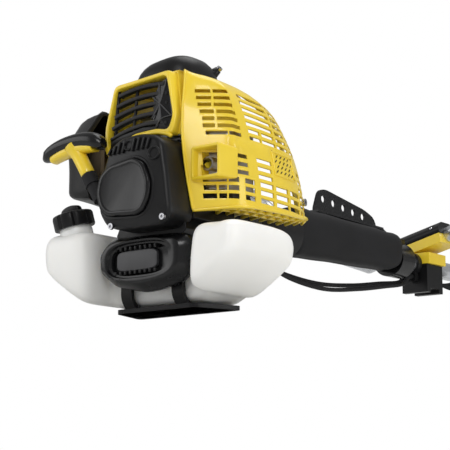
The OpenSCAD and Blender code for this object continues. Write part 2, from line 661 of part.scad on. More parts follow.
module clamp_base() color(black) difference() {
    translate([-21, clamp_y - 22, 78]) cube([42, 44, axis_h - 78]);
    axis_bar(tube_r, clamp_y - 30, clamp_y + 30);
    translate([-30, clamp_y - 12, 70]) cube([60, 24, 14]);
    for (x = [-4, 4]) translate([x, clamp_y - 30, 99]) rotate([-90, 0, 0]) cylinder(r = 3.8, h = 60);
}
module clamp_body() color(yellow) difference() {
    union() {
        translate([-26, clamp_y - 24, axis_h + 0.1]) cube([52, 48, 16]);
        at_bar() translate([-44, -24, -14]) cube([88, 48, 14]);
    }
    axis_bar(tube_r, clamp_y - 30, clamp_y + 30);
    at_bar() translate([-60, 0, 0]) rotate([0, 90, 0]) cylinder(r = bar_r, h = 120);
    at_bar() for (x = [-32, 32], y = [-18, 18]) translate([x, y, -12]) cylinder(r = 2.6, h = 20);
}
module clamp_cap() color(black) at_bar() difference() {
    along_x(-46, 46) polygon(eased([[-25, 0.1], [-25, 9], [-14, 18], [14, 18], [25, 9], [25, 0.1]], 5));
    translate([-60, 0, 0]) rotate([0, 90, 0]) cylinder(r = bar_r, h = 120);
    for (x = [-32, 32], y = [-18, 18]) translate([x, y, -1]) cylinder(r = 2.6, h = 30);
    for (x = [-32, 32], y = [-18, 18]) translate([x, y, 9]) cylinder(r = 5.4, h = 30);
}

// ---- Cutter ----

blade_len = tooth_pitch * tooth_n;
head_len = 96;
pivot_y = tube_end + 66;
nose_l = head_len + blade_len + 18;
nose_low = 12;
// Angle that lays the nose of the blade guide on the ground
droop = asin(axis_h / norm([nose_l, nose_low])) - atan2(nose_low, nose_l);
module at_cutter() translate([0, pivot_y, axis_h]) rotate([-droop, 0, 0]) children();
module tilt_bracket() color(alloy) difference() {
    union() {
        axis_bar(19, tube_end - 40, tube_end + 14);
        axis_bar(26, tube_end + 10, tube_end + 36);
        for (x = [-34, 27.3]) translate([x, tube_end + 12, axis_h - 18]) cube([6.7, 54, 36]);
        translate([-34, tube_end + 12, axis_h - 18]) cube([68, 18, 36]);
        for (x = [-34, 27.3]) translate([x, pivot_y, axis_h]) rotate([0, 90, 0]) cylinder(r = 18, h = 6.7);
        translate([0, pivot_y, axis_h]) translate([27, 0, 0]) rotate([0, 90, 0]) cylinder(r = 11, h = 13);
    }
    axis_bar(tube_r, tube_end - 41, tube_end + 0.01);
    axis_bar(9, tube_end - 1, tube_end + 40);
    translate([-60, pivot_y, axis_h]) rotate([0, 90, 0]) cylinder(r = 5 + run, h = 120);
}
module cutter_case() color(black) at_cutter() {
    difference() {
        union() {
            translate([-26.7, 0, 0]) rotate([0, 90, 0]) cylinder(r = 17, h = 53.4);
            along_z(-7, 24)
                polygon(eased([[-26, 10], [-26, 24], [-44, 42], [-44, head_len - 10], [-30, head_len + 12],
                [30, head_len + 12], [44, head_len - 10], [44, 42], [26, 24],
                [26, 10]], 9));
            translate([0, 58, 24]) cylinder(r = 30, h = 7);
        }
        translate([0, 58, -5]) cylinder(r = 33, h = 25);
        along_z(-8, 0.1) polygon([[-30, 60], [30, 60], [30, head_len - 8], [50, head_len - 8],
            [50, head_len + 20], [-50, head_len + 20], [-50, head_len - 8], [-30, head_len - 8]]);
        translate([-14.2, 50, -8]) cube([28.4, 80, 12.2]);
        translate([-60, 0, 0]) rotate([0, 90, 0]) cylinder(r = 5, h = 120);
    }
    translate([-40, 0, 0]) rotate([0, 90, 0]) cylinder(r = 5, h = 80);
}
module guide_bar() color(steel) at_cutter() {
    along_z(0.2, 4) polygon(eased([[-14, 60], [-14, nose_l - 14], [-9, nose_l - 2], [9, nose_l - 2],
        [14, nose_l - 14], [14, 60]], 3));
    for (y = bolt_l) translate([0, y, -12]) cylinder(r = 3, h = 14);
    for (y = bolt_l) translate([0, y, -12]) cylinder(r = 6, h = 5);
    along_z(-nose_low, 6)
        polygon(eased([[-17, nose_l - 10], [-12, nose_l], [12, nose_l], [17, nose_l - 10],
        [17, nose_l - 14], [-17, nose_l - 14]], 2));
}
bolt_l = [for (k = [0 : 3]) head_len + 40 + k * (blade_len - 80) / 3];
// A double-sided blade whose teeth sit `shift` further along
module blade(z, shift) translate([0, 0, z]) linear_extrude(blade_t) difference() {
    union() {
        translate([-15, 62 + stroke]) square([30, head_len + blade_len - 72 - stroke]);
        for (k = [0 : tooth_n - 1], s = [0, 1])
            translate([0, head_len + 20 + shift + k * (blade_len - 50) / (tooth_n - 1)]) mirror([s, 0])
                polygon([[11, -8], [blade_half, -4], [blade_half, 3.5], [11, 11]]);
    }
    for (y = bolt_l) guide_slot(y);
    guide_slot(82);
}
// Slot round a guide bolt, long enough for the stroke
module guide_slot(y) {
    translate([-3.4, y - stroke - 1]) square([6.8, 2 * stroke + 2]);
    for (s = [-1, 1]) translate([0, y + s * (stroke + 1)]) circle(r = 3.4);
}
module upper_blade() color(steel) at_cutter() blade(-0.4 - blade_t, 0);
module lower_blade() color(steel) at_cutter() blade(-0.8 - 2 * blade_t, tooth_pitch / 2 - 4);

// ---- Fasteners, grouped in one node ----

module machine_screws() color(steel) {
    // starter housing
    for (p = [[57, -90, 93], [-19, -90, 90.5]]) translate(p) rotate([90, 0, 0]) cap_screw(2, 0.2);
    // side cover
    translate([92.6, 118, 136]) rotate([0, 90, 14]) translate([0, 0, 2]) cap_screw(2.5, 0.2);
    // top cap
    translate([36.6, 30, 290]) rotate([0, 52, 0]) cap_screw(2, 0.2);
    // clutch housing
    for (a = [40, 140, 220, 320]) translate([0, 66, axis_h]) rotate([0, a, 0]) translate([0, 0, 58])
        cap_screw(2.5, 0.2);
    // collar and clamp
    for (y = [pad_y[1] + 11, pad_y[1] + 23]) translate([0, y, axis_h + 30]) cap_screw(2.5, 0.2);
    at_bar() for (x = [-32, 32], y = [-18, 18]) translate([x, y, 9]) cap_screw(2.5, 20);
}
module case_screws() color(steel) at_cutter() for (a = [30 : 60 : 330])
    translate([0, 58, 31]) rotate(a) translate([25, 0, 0]) cap_screw(2, 0.2, 2);

// ---- Assembly ----

skid_base();
fuel_tank();
tank_guard();
guard_label();
crankcase();
crankshaft();
crank_bearings();
connecting_rod();
piston();
cylinder_part();  // cylinder
spark_plug();
plug_cap();
flywheel();
clutch_shoes();
clutch_drum();
clutch_housing();
starter_housing();
starter_badge();
starter_reel();
recoil_spring();
starter_rope();
starter_handle();
handle_overmould();
rope_guide();
top_shroud();
rear_grille();
top_cap();
muffler_guard();
muffler();
carburetor();
air_filter_element();
air_filter_cover();
choke_lever();
primer_bulb();
fuel_cap();
fuel_line();
hip_pad();
hanger_plate();
pad_collar();
shaft_tube();
drive_shaft();
tube_bushings();
throttle_cable();
switch_lead();
cable_clip();
clamp_base();
clamp_body();
clamp_cap();
handlebar();
left_grip();
throttle_housing();
throttle_trigger();
throttle_lockout();
stop_switch();
tilt_bracket();
cutter_case();
guide_bar();
upper_blade();
lower_blade();
case_screws();
machine_screws();
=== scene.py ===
"""Looks of the long-reach petrol hedge trimmer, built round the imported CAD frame."""
import json
import math
import bpy
import bmesh
from mathutils import Matrix, Vector


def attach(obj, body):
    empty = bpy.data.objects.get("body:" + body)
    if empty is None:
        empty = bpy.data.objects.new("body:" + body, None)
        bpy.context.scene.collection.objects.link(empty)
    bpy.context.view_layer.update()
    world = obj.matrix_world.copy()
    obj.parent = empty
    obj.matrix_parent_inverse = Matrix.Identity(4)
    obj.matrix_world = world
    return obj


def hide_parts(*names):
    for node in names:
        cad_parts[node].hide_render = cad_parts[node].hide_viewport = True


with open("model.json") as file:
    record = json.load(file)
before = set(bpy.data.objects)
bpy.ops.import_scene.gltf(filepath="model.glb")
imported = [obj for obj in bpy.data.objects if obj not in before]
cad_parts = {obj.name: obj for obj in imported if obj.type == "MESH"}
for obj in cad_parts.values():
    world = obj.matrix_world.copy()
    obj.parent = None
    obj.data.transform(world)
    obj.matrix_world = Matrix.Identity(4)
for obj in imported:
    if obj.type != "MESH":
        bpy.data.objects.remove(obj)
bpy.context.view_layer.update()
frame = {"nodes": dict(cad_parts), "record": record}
ROOT = "engine_and_shaft"
MM = 0.001
AXIS_Z = 119            # height of the crank and shaft axis, in millimetres


# ---- Materials -------------------------------------------------------------------------------

BROAD_SCALE = 22        # noise cells per metre that vary colour and gloss


def material(name, color, rough, grain, bump, vary, metal=0.0, coat=0.0, streak=(1, 1, 1),
             subsurface=0.0, shine=0.5):
    """Procedural surface: a broad noise drives colour and roughness, a fine one the bump."""
    m = bpy.data.materials.new(name)
    m.use_nodes = True
    n, l = m.node_tree.nodes, m.node_tree.links
    shader = n["Principled BSDF"]
    place = n.new("ShaderNodeTexCoord")
    scale = n.new("ShaderNodeMapping")
    scale.inputs["Scale"].default_value = streak
    l.new(place.outputs["Object"], scale.inputs["Vector"])
    fine = n.new("ShaderNodeTexNoise")
    fine.inputs["Scale"].default_value = grain
    fine.inputs["Detail"].default_value = 3
    broad = n.new("ShaderNodeTexNoise")
    broad.inputs["Scale"].default_value = BROAD_SCALE
    broad.inputs["Detail"].default_value = 5
    for tex in (fine, broad):
        l.new(scale.outputs["Vector"], tex.inputs["Vector"])
    tint = n.new("ShaderNodeValToRGB")
    low = [max(0, c * (1 - vary)) for c in color]
    high = [min(1, c * (1 + vary)) for c in color]
    tint.color_ramp.elements[0].color = (*low, 1)
    tint.color_ramp.elements[1].color = (*high, 1)
    tint.color_ramp.elements[0].position = 0.35
    tint.color_ramp.elements[1].position = 0.68
    l.new(broad.outputs["Fac"], tint.inputs["Fac"])
    l.new(tint.outputs["Color"], shader.inputs["Base Color"])
    gloss = n.new("ShaderNodeMapRange")
    gloss.inputs["To Min"].default_value = max(0.03, rough - 0.08)
    gloss.inputs["To Max"].default_value = min(1, rough + 0.1)
    l.new(broad.outputs["Fac"], gloss.inputs["Value"])
    l.new(gloss.outputs["Result"], shader.inputs["Roughness"])
    relief = n.new("ShaderNodeBump")
    relief.inputs["Strength"].default_value = bump
    relief.inputs["Distance"].default_value = 0.0004
    l.new(fine.outputs["Fac"], relief.inputs["Height"])
    l.new(relief.outputs["Normal"], shader.inputs["Normal"])
    shader.inputs["Metallic"].default_value = metal
    shader.inputs["Coat Weight"].default_value = coat
    shader.inputs["Coat Roughness"].default_value = 0.12
    shader.inputs["Specular IOR Level"].default_value = shine
    shader.inputs["Subsurface Weight"].default_value = subsurface
    if subsurface:
        shader.inputs["Subsurface Scale"].default_value = 0.02
        shader.inputs["Subsurface Radius"].default_value = (1.0, 0.95, 0.85)
    return m


MATS = {
    "yellow_plastic": material("yellow_moulding", (0.86, 0.62, 0.03), 0.33, 700, 0.05, 0.03, coat=0.25,
                               subsurface=0.06),
    "black_plastic": material("black_nylon", (0.0065, 0.0065, 0.007), 0.36, 1500, 0.25, 0.15, shine=0.24),
    "gloss_black": material("glossy_black", (0.005, 0.005, 0.0055), 0.24, 600, 0.04, 0.1, coat=0.06,
                            shine=0.3),
    "label": material("label_plate", (0.045, 0.045, 0.048), 0.45, 1200, 0.1, 0.2),
    "tank_plastic": material("tank_polyethylene", (0.90, 0.895, 0.87), 0.36, 260, 0.06, 0.012,
                             subsurface=0.35),
    "rubber": material("black_rubber", (0.011, 0.011, 0.012), 0.6, 1800, 0.35, 0.2, shine=0.2),
    "clear_rubber": material("amber_rubber", (0.72, 0.60, 0.30), 0.3, 500, 0.05, 0.05, subsurface=0.3),
    "cast_alloy": material("cast_alloy", (0.50, 0.51, 0.53), 0.42, 1100, 0.3, 0.08, metal=1.0),
    "tube_metal": material("tube_metal", (0.58, 0.59, 0.61), 0.28, 900, 0.06, 0.05, metal=1.0,
                           streak=(6, 0.4, 6)),
    "steel": material("turned_steel", (0.42, 0.42, 0.44), 0.24, 900, 0.08, 0.06, metal=1.0,
                      streak=(5, 0.6, 5)),
    "exhaust_steel": material("exhaust_steel", (0.47, 0.45, 0.43), 0.3, 700, 0.08, 0.12, metal=1.0),
    "ceramic": material("plug_ceramic", (0.86, 0.86, 0.84), 0.18, 500, 0.02, 0.02, coat=0.4),
    "filter_foam": material("filter_foam", (0.13, 0.10, 0.065), 0.9, 1400, 0.9, 0.2),
    "rope": material("rope_nylon", (0.04, 0.04, 0.042), 0.8, 2200, 0.6, 0.3, streak=(1, 1, 3)),
    "switch_red": material("switch_red", (0.55, 0.03, 0.02), 0.3, 700, 0.05, 0.04, coat=0.3),
}
SLOT = {s["node"]: s["material_slot"] for s in frame["record"]["subparts"]}


def dress(obj, slot):
    obj.data.materials.clear()
    obj.data.materials.append(MATS[slot])


def soften(obj, width, angle=38):
    """Rounds the hard edges of a piece without changing its mesh."""
    b = obj.modifiers.new("edges", "BEVEL")
    b.width = width
    b.segments = 2
    b.limit_method = "ANGLE"
    b.angle_limit = math.radians(angle)
    b.harden_normals = False


# Edge radius in metres of the design's nodes that show their edges
SOFT_EDGED = {"skid_base": 0.0012, "handle_overmould": 0.0016, "starter_handle": 0.0012,
              "clamp_body": 0.0014, "clamp_cap": 0.0012, "clamp_base": 0.0012,
              "throttle_housing": 0.0014, "cutter_case": 0.0014,
              "tilt_bracket": 0.001, "throttle_trigger": 0.001, "throttle_lockout": 0.001,
              "stop_switch": 0.0008, "hanger_plate": 0.0005, "pad_collar": 0.001, "cable_clip": 0.0008}
for name, obj in frame["nodes"].items():
    dress(obj, SLOT[name])
    if name in SOFT_EDGED:
        soften(obj, SOFT_EDGED[name])


# ---- Mesh helpers ----------------------------------------------------------------------------

def mesh_piece(name, verts, faces, slot, body=ROOT, replaces=(), smooth=True):
    """Object from points in millimetres, dressed and tied to the body it moves with."""
    me = bpy.data.meshes.new(name)
    me.from_pydata([Vector(v) * MM for v in verts], [], faces)
    me.validate()
    obj = bpy.data.objects.new(name, me)
    bpy.context.collection.objects.link(obj)
    if smooth:
        for p in me.polygons:
            p.use_smooth = True
    dress(obj, slot)
    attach(obj, body)
    if replaces:
        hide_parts(*replaces)
    return obj


def finish_piece(obj, bevel=0.0, thick=0.0):
    """Cleans the mesh, gives a sheet its thickness and rounds its edges."""
    bm = bmesh.new()
    bm.from_mesh(obj.data)
    bmesh.ops.remove_doubles(bm, verts=bm.verts, dist=1e-6)
    loose = [v for v in bm.verts if not v.link_faces]
    bmesh.ops.delete(bm, geom=loose, context="VERTS")
    bmesh.ops.recalc_face_normals(bm, faces=bm.faces)
    bm.to_mesh(obj.data)
    bm.free()
    if thick:
        s = obj.modifiers.new("wall", "SOLIDIFY")
        s.thickness = thick
        s.offset = -1
        s.use_even_offset = True
        s.thickness_clamp = 1.0
    if bevel:
        soften(obj, bevel, 32)
    return obj


def ring_faces(rings, n, start=0):
    """Quads that join `rings` closed rings of n points each, numbered from `start`."""
    faces = []
    for r in range(rings - 1):
        for k in range(n):
            a, b = start + r * n + k, start + r * n + (k + 1) % n
            faces.append((a, b, b + n, a + n))
    return faces


def signed_power(v, p):
    """Power that keeps the sign, for squared-off ovals."""
    return math.copysign(abs(v) ** p, v)


# Faces of a small bar of eight points: two ends of two points at each side
BAR_FACES = [(0, 1, 3, 2), (4, 6, 7, 5), (0, 4, 5, 1), (2, 3, 7, 6), (0, 2, 6, 4), (1, 5, 7, 3)]


def spline(pts, steps):
    """Points on a smooth curve through the given points."""
    out = []
    n = len(pts)
    for i in range(n - 1):
        a, b, c, d = pts[max(0, i - 1)], pts[i], pts[i + 1], pts[min(n - 1, i + 2)]
        for k in range(steps):
            f = k / steps
            out.append([0.5 * (2 * b[j] + (c[j] - a[j]) * f
                               + (2 * a[j] - 5 * b[j] + 4 * c[j] - d[j]) * f * f
                               + (3 * b[j] - a[j] - 3 * c[j] + d[j]) * f ** 3) for j in range(len(b))])
    out.append(list(pts[-1]))
    return out


def at(table, x):
    """Straight-line lookup in a list of (place, value) pairs."""
    if x <= table[0][0]:
        return table[0][1]
    for (a, fa), (b, fb) in zip(table, table[1:]):
        if x <= b:
            return fa + (fb - fa) * (x - a) / (b - a)
    return table[-1][1]


def tube(name, pts, radius, slot, body=ROOT, replaces=(), sides=12, caps=True):
    """Round tube along a list of points in millimetres; radius may vary along it."""
    verts = []
    n = len(pts)
    up = Vector((0.31, 0.17, 0.93)).normalized()    # only sets where the first ring starts
    for i, p in enumerate(pts):
        t = (Vector(pts[min(n - 1, i + 1)]) - Vector(pts[max(0, i - 1)])).normalized()
        u = t.cross(up).normalized()
        up = u.cross(t).normalized()
        r = radius[i] if isinstance(radius, (list, tuple)) else radius
        for k in range(sides):
            w = 2 * math.pi * k / sides
            verts.append(Vector(p) + (u * math.cos(w) + up * math.sin(w)) * r)
    faces = ring_faces(n, sides)
    if caps:
        faces.append(tuple(range(sides - 1, -1, -1)))
        faces.append(tuple(range((n - 1) * sides, n * sides)))
    return mesh_piece(name, verts, faces, slot, body, replaces)


# ---- Yellow side cover over the exhaust ------------------------------------------------------

# Outlines from above at several heights; matching points are joined up the wall
COVER_LEVELS = [
    (98, [(67.5, -51), (76, -45), (100, -28), (109, -14), (111, 4), (111, 38), (108, 80), (101, 108),
          (91, 128), (78, 148), (64, 164), (48, 173)]),
    (150, [(60, -56), (70, -50.5), (100, -28), (106.5, -14), (108, 4), (108, 38), (104.5, 78),
           (97.5, 104), (87, 126), (74, 145), (60, 160), (47, 168)]),
    (191, [(56, -58), (66, -51), (97, -28), (100.5, -14), (101, 3), (101, 34), (97.5, 72), (91, 98),
           (81, 118), (70, 134), (57, 146), (46, 151)]),
    (222, [(54.5, -56), (63, -49.5), (91, -25), (94, -13), (94.5, 2), (93.5, 30), (89.5, 64), (83, 86),
           (74, 105), (64, 120), (54, 130), (46, 135)]),
    (243, [(53, -52), (60, -44), (85, -22), (87.5, -12), (86, 2), (84, 26), (80.5, 56), (74.5, 76),
           (67, 93), (58, 105), (51, 112), (45, 116)]),
    (256, [(53, -51), (58, -42), (76, -25), (78, -13), (77, 1), (75, 22), (70, 46), (64, 62), (58, 76),
           (52, 86), (47, 92), (44, 95)]),
    (264.5, [(53, -50), (56, -40), (62, -27), (63, -14), (62, 0), (60, 18), (57, 36), (53, 48), (50, 56),
             (47, 62), (45, 66), (43, 68)]),
    (269, [(52, -50), (50, -40), (49, -26), (48, -14), (47, 0), (46, 16), (45, 26), (44, 34), (43, 40),
           (43, 44), (42, 48), (42, 50)]),
]
COVER_LOW, COVER_HIGH = COVER_LEVELS[0][0], COVER_LEVELS[-1][0]
# Height of the cover's lower edge along its length
COVER_FOOT = [(-54, 103.5), (-28, 107), (0, 109.5), (44, 111), (84, 112), (108, 114), (150, 121),
              (174, 129)]
# Heights of the slot rows and half the height of a slot in each group
UPPER_ROWS = [243.4 - 8.5 * k for k in range(7)]
SHORT_ROWS = [167.3, 157.7, 148.3]
LOWER_ROWS = [139.2, 129.8, 120.4]
UPPER_HALF, SHORT_HALF, LOWER_HALF = 2.3, 2.5, 2.9
FOOT_BLEND = 117        # below this height the grid lines are squeezed in over the foot


def cover_outline(z, steps=6):
    """Outline of the cover at a height, smoothly joined between the levels."""
    n = len(COVER_LEVELS)
    for i in range(n - 1):
        if z <= COVER_LEVELS[i + 1][0] or i == n - 2:
            break
    z0, z1 = COVER_LEVELS[i][0], COVER_LEVELS[i + 1][0]
    f = min(1.0, max(0.0, (z - z0) / (z1 - z0)))
    rows = [COVER_LEVELS[min(n - 1, max(0, k))] for k in (i - 1, i, i + 1, i + 2)]
    pts = []
    for q in range(len(rows[1][1])):
        p = []
        for c in (0, 1):
            v = [r[1][q][c] for r in rows]
            m1 = (v[2] - v[0]) / max(1, rows[2][0] - rows[0][0]) * (z1 - z0)
            m2 = (v[3] - v[1]) / max(1, rows[3][0] - rows[1][0]) * (z1 - z0)
            p.append((2 * f ** 3 - 3 * f * f + 1) * v[1] + (f ** 3 - 2 * f * f + f) * m1
                     + (3 * f * f - 2 * f ** 3) * v[2] + (f ** 3 - f * f) * m2)
        pts.append(p)
    return spline(pts, steps)


def plate_distance(x, y):
    """Distance along the slanted rear face of the cover."""
    return ((x - 60) * 42 + (y + 58) * 31) / 52.2


def cover_open(x, y, z, station, stations):
    """True where a ventilation slot goes through the wall."""
    d = plate_distance(x, y)
    on_rear = y < -8 and station < stations * 0.4
    for k, zc in enumerate(UPPER_ROWS):
        if abs(z - zc) < UPPER_HALF:
            rib = 47.8 if k == 6 else 28.5 + k * 1.2
            if on_rear and 10 + 1.9 * k < d < 46.4 + 2.9 * k and abs(d - rib) > 1.1:
                return True
            if y > 0.5 + 0.9 * k and (y < 57 or 60.5 < y < 89) and not (k > 4 and 27 < y < 30.5):
                return True
            if y > 93 and x > 52:
                return True
    for zc in SHORT_ROWS:
        if abs(z - zc) < SHORT_HALF:
            if -30 < y < -4 or 12.5 < y < 41 or 104 < y < 118 or (122 < y and x > 56):
                return True
    for k, zc in enumerate(LOWER_ROWS):
        if abs(z - zc) < LOWER_HALF:
            rib = (61, 36, 37)[k]
            if on_rear and 20 < d < 60 and abs(d - rib) > 1.2 and abs(d - 48) > 1.0:
                return True
            if -11 < y < 6 or 16 < y < 41 or 46 < y < 72 or 76 < y < 102:
                return True
            if y > 106 and x > 56 and z > at(COVER_FOOT, y) + 5:
                return True
    # opening that the exhaust scoop covers
    return 75 < x and -49 < y < -31 and 141 < z < 171


def cover_rows():
    """Heights of the grid lines, with one on each edge of each slot."""
    edges = [COVER_LOW, COVER_HIGH]
    for group, half in ((UPPER_ROWS, UPPER_HALF), (SHORT_ROWS, SHORT_HALF), (LOWER_ROWS, LOWER_HALF)):
        for zc in group:
            edges += [zc - half, zc + half]
    # edges of the pressed belt, then of the rounded top
    edges += [173.5, 176, 185.5, 187.6, 251, 256, 260, 263, 265.5, 267.4]
    edges.sort()
    rows = [edges[0]]
    for e in edges[1:]:
        steps = max(1, int((e - rows[-1]) / 3.2))
        base = rows[-1]
        for s in range(1, steps + 1):
            rows.append(base + (e - base) * s / steps)
    return rows


def build_cover():
    """Shell of the side cover with its slots, and the rims along its three free edges."""
    zs = cover_rows()
    grid = [cover_outline(z, 16) for z in zs]
    n, m = len(grid[0]), len(zs)
    verts, faces = [], []
    for j, z in enumerate(zs):
        for i in range(n):
            x, y = grid[j][i]
            foot = at(COVER_FOOT, y)
            if foot > 113 or z >= FOOT_BLEND:
                zz = max(z, foot)
            else:
                zz = foot + (z - COVER_LOW) * (FOOT_BLEND - foot) / (FOOT_BLEND - COVER_LOW)
            # pressed lines that carry the slots on towards the rear edge
            d = plate_distance(x, y)
            press = 0.0
            for k, zc in enumerate(UPPER_ROWS):
                if y < -20 and 3.5 < d < 9 + 1.9 * k and abs(z - zc) < 0.6:
                    press = 0.5
            if 174 < z < 187 and -28 < y < 40:
                press = -1.3
            verts.append((x - press * 0.7, y + press * 0.5, zz))
    for j in range(m - 1):
        for i in range(n - 1):
            cx = sum(grid[a][b][0] for a in (j, j + 1) for b in (i, i + 1)) / 4
            cy = sum(grid[a][b][1] for a in (j, j + 1) for b in (i, i + 1)) / 4
            if cover_open(cx, cy, (zs[j] + zs[j + 1]) / 2, i, n):
                continue
            a = j * n + i
            faces.append((a, a + 1, a + n + 1, a + n))
    cover = mesh_piece("side_cover_shell", verts, faces, "yellow_plastic", replaces=["muffler_guard"])
    finish_piece(cover, thick=0.0026, bevel=0.0004)
    foot_line = [[x, y, at(COVER_FOOT, y) + 0.8] for x, y in cover_outline(COVER_LOW)]
    tube("side_cover_rim", foot_line, 1.9, "yellow_plastic", sides=10)
    rear_line = [[*cover_outline(z, 2)[0], COVER_FOOT[0][1] if z < 100 else z] for z in zs[::3]]
    tube("side_cover_rear_rim", rear_line, 1.5, "yellow_plastic", sides=10)
    front_line = [[*cover_outline(z, 2)[-1], z] for z in zs[::3] if z > COVER_FOOT[-1][1]]
    tube("side_cover_front_rim", front_line, 1.7, "yellow_plastic", sides=10)
    build_scoop()
    build_panel()
    build_underside()


def box_ring(x0, x1, z0, z1, r, steps=3):
    """Rounded rectangle in X and Z, as a list of corners."""
    out = []
    corners = ((x1 - r, z0 + r, -90), (x1 - r, z1 - r, 0), (x0 + r, z1 - r, 90), (x0 + r, z0 + r, 180))
    for cx, cz, a0 in corners:
        for k in range(steps + 1):
            a = math.radians(a0 + 90 * k / steps)
            out.append((cx + r * math.cos(a), cz + r * math.sin(a)))
    return out


def build_scoop():
    """Square duct over the exhaust outlet, open to the rear."""
    verts = []
    # outside from the wall to the mouth, then back along the inside
    rings = [(-31, box_ring(75, 107.5, 139.5, 175, 3)),
             (-55, box_ring(66.5, 107, 137.5, 175.5, 3)),
             (-56, box_ring(67.3, 106.2, 138.3, 174.7, 2.4)),
             (-56, box_ring(69.3, 104.2, 140.6, 172.4, 1.6)),
             (-54.8, box_ring(70, 103.6, 141.2, 171.8, 1.4)),
             (-30, box_ring(77, 103.6, 142, 171.8, 1.4))]
    for y, ring in rings:
        for x, z in ring:
            yy = y
            if y > -40:
                yy = max(y, -58 + (x - 60) * 0.72)
            verts.append((x, min(yy, -24), z))
    faces = ring_faces(len(rings), len(rings[0][1]))
    duct = mesh_piece("exhaust_scoop", verts, faces, "yellow_plastic")
    finish_piece(duct, bevel=0.0003)


def cover_surface(y, z, lift=0.0):
    """Point on the flank at a given y and z, moved out by `lift`."""
    pts = cover_outline(z, 12)
    best = min(pts[len(pts) // 4:], key=lambda p: abs(p[1] - y))
    return [best[0] + lift, y, z]


def build_panel():
    """Framed panel with slanted slits at the front of the flank."""
    z0, z1, y0, y1 = 156.2, 183.8, 46, 92
    border = [(y0 + (y1 - y0) * k / 8, z1) for k in range(9)]
    border += [(y1, z1 + (z0 - z1) * k / 4) for k in range(5)]
    border += [(y1 + (y0 - y1) * k / 8, z0) for k in range(9)]
    border += [(y0, z0 + (z1 - z0) * k / 4) for k in range(5)]
    frame_pts = [cover_surface(y, z, 0.2) for y, z in border]
    tube("cover_panel_frame", frame_pts, 1.2, "yellow_plastic", sides=8, caps=False)
    # the slits are thin black sheets laid on the surface: painted shade of the openings
    verts, faces = [], []
    for r in range(4):
        for c in range(5):
            y = y0 + 6 + c * 8.6 + (r % 2) * 3
            z = z0 + 4.6 + r * 6.2
            if y > y1 - 4:
                continue
            base = len(verts)
            for dy, dz in ((-2.6, -1.3), (-1.6, -2.0), (2.6, 1.3), (1.6, 2.0)):
                verts.append(cover_surface(y + dy, z + dz, 0.35))
            faces.append((base, base + 1, base + 2, base + 3))
    slits = mesh_piece("cover_panel_slits", verts, faces, "black_plastic", smooth=False)
    finish_piece(slits, thick=0.0003)


def build_underside():
    """Lattice across the open foot of the cover."""
    outline = cover_outline(COVER_LOW)[8:-6]
    for k, f in enumerate((0.30, 0.62)):
        row = [[62 + (x - 62) * f, y, at(COVER_FOOT, y) + 1.6] for x, y in outline if x > 74]
        tube(f"cover_rib_long_{k}", row, 2.0, "yellow_plastic", sides=8)
    edge = sorted((y, x) for x, y in cover_outline(COVER_LOW) if y > -40)
    for k in range(11):
        y = -30 + k * 17
        x1 = at(edge, y) - 1
        z = at(COVER_FOOT, y) + 1.8
        if x1 < 64:
            continue
        tube(f"cover_rib_{k}", [[58, y + 26, z], [(58 + x1) / 2, y + 13, z - 0.5], [x1, y, z]], 2.2,
             "yellow_plastic", sides=8)


build_cover()


# ---- Fuel tank, cap and lower guard ----------------------------------------------------------

def superlobe(x0, x1, y0, y1, z0, z1, nx, nz, power):
    """Pillow-like closed block that fills a box: a superellipsoid."""
    verts = []
    cx, cy, cz = (x0 + x1) / 2, (y0 + y1) / 2, (z0 + z1) / 2
    e = 2 / power
    for j in range(nz + 1):
        b = -math.pi / 2 + math.pi * j / nz
        for i in range(nx):
            a = 2 * math.pi * i / nx
            x = signed_power(math.cos(b), e) * signed_power(math.cos(a), e)
            y = signed_power(math.cos(b), e) * signed_power(math.sin(a), e)
            z = signed_power(math.sin(b), e)
            verts.append([cx + x * (x1 - x0) / 2, cy + y * (y1 - y0) / 2, cz + z * (z1 - z0) / 2])
    return verts, ring_faces(nz + 1, nx)


FILLER = (-108, -56, 97)        # centre of the filler neck's mouth
FILLER_LEAN = (10, -10)         # degrees about X, then about Y


def tipped(lean):
    """Turning matrix for a lean about X, then about Y, in degrees."""
    return Matrix.Rotation(math.radians(lean[1]), 3, "Y") @ Matrix.Rotation(math.radians(lean[0]), 3, "X")


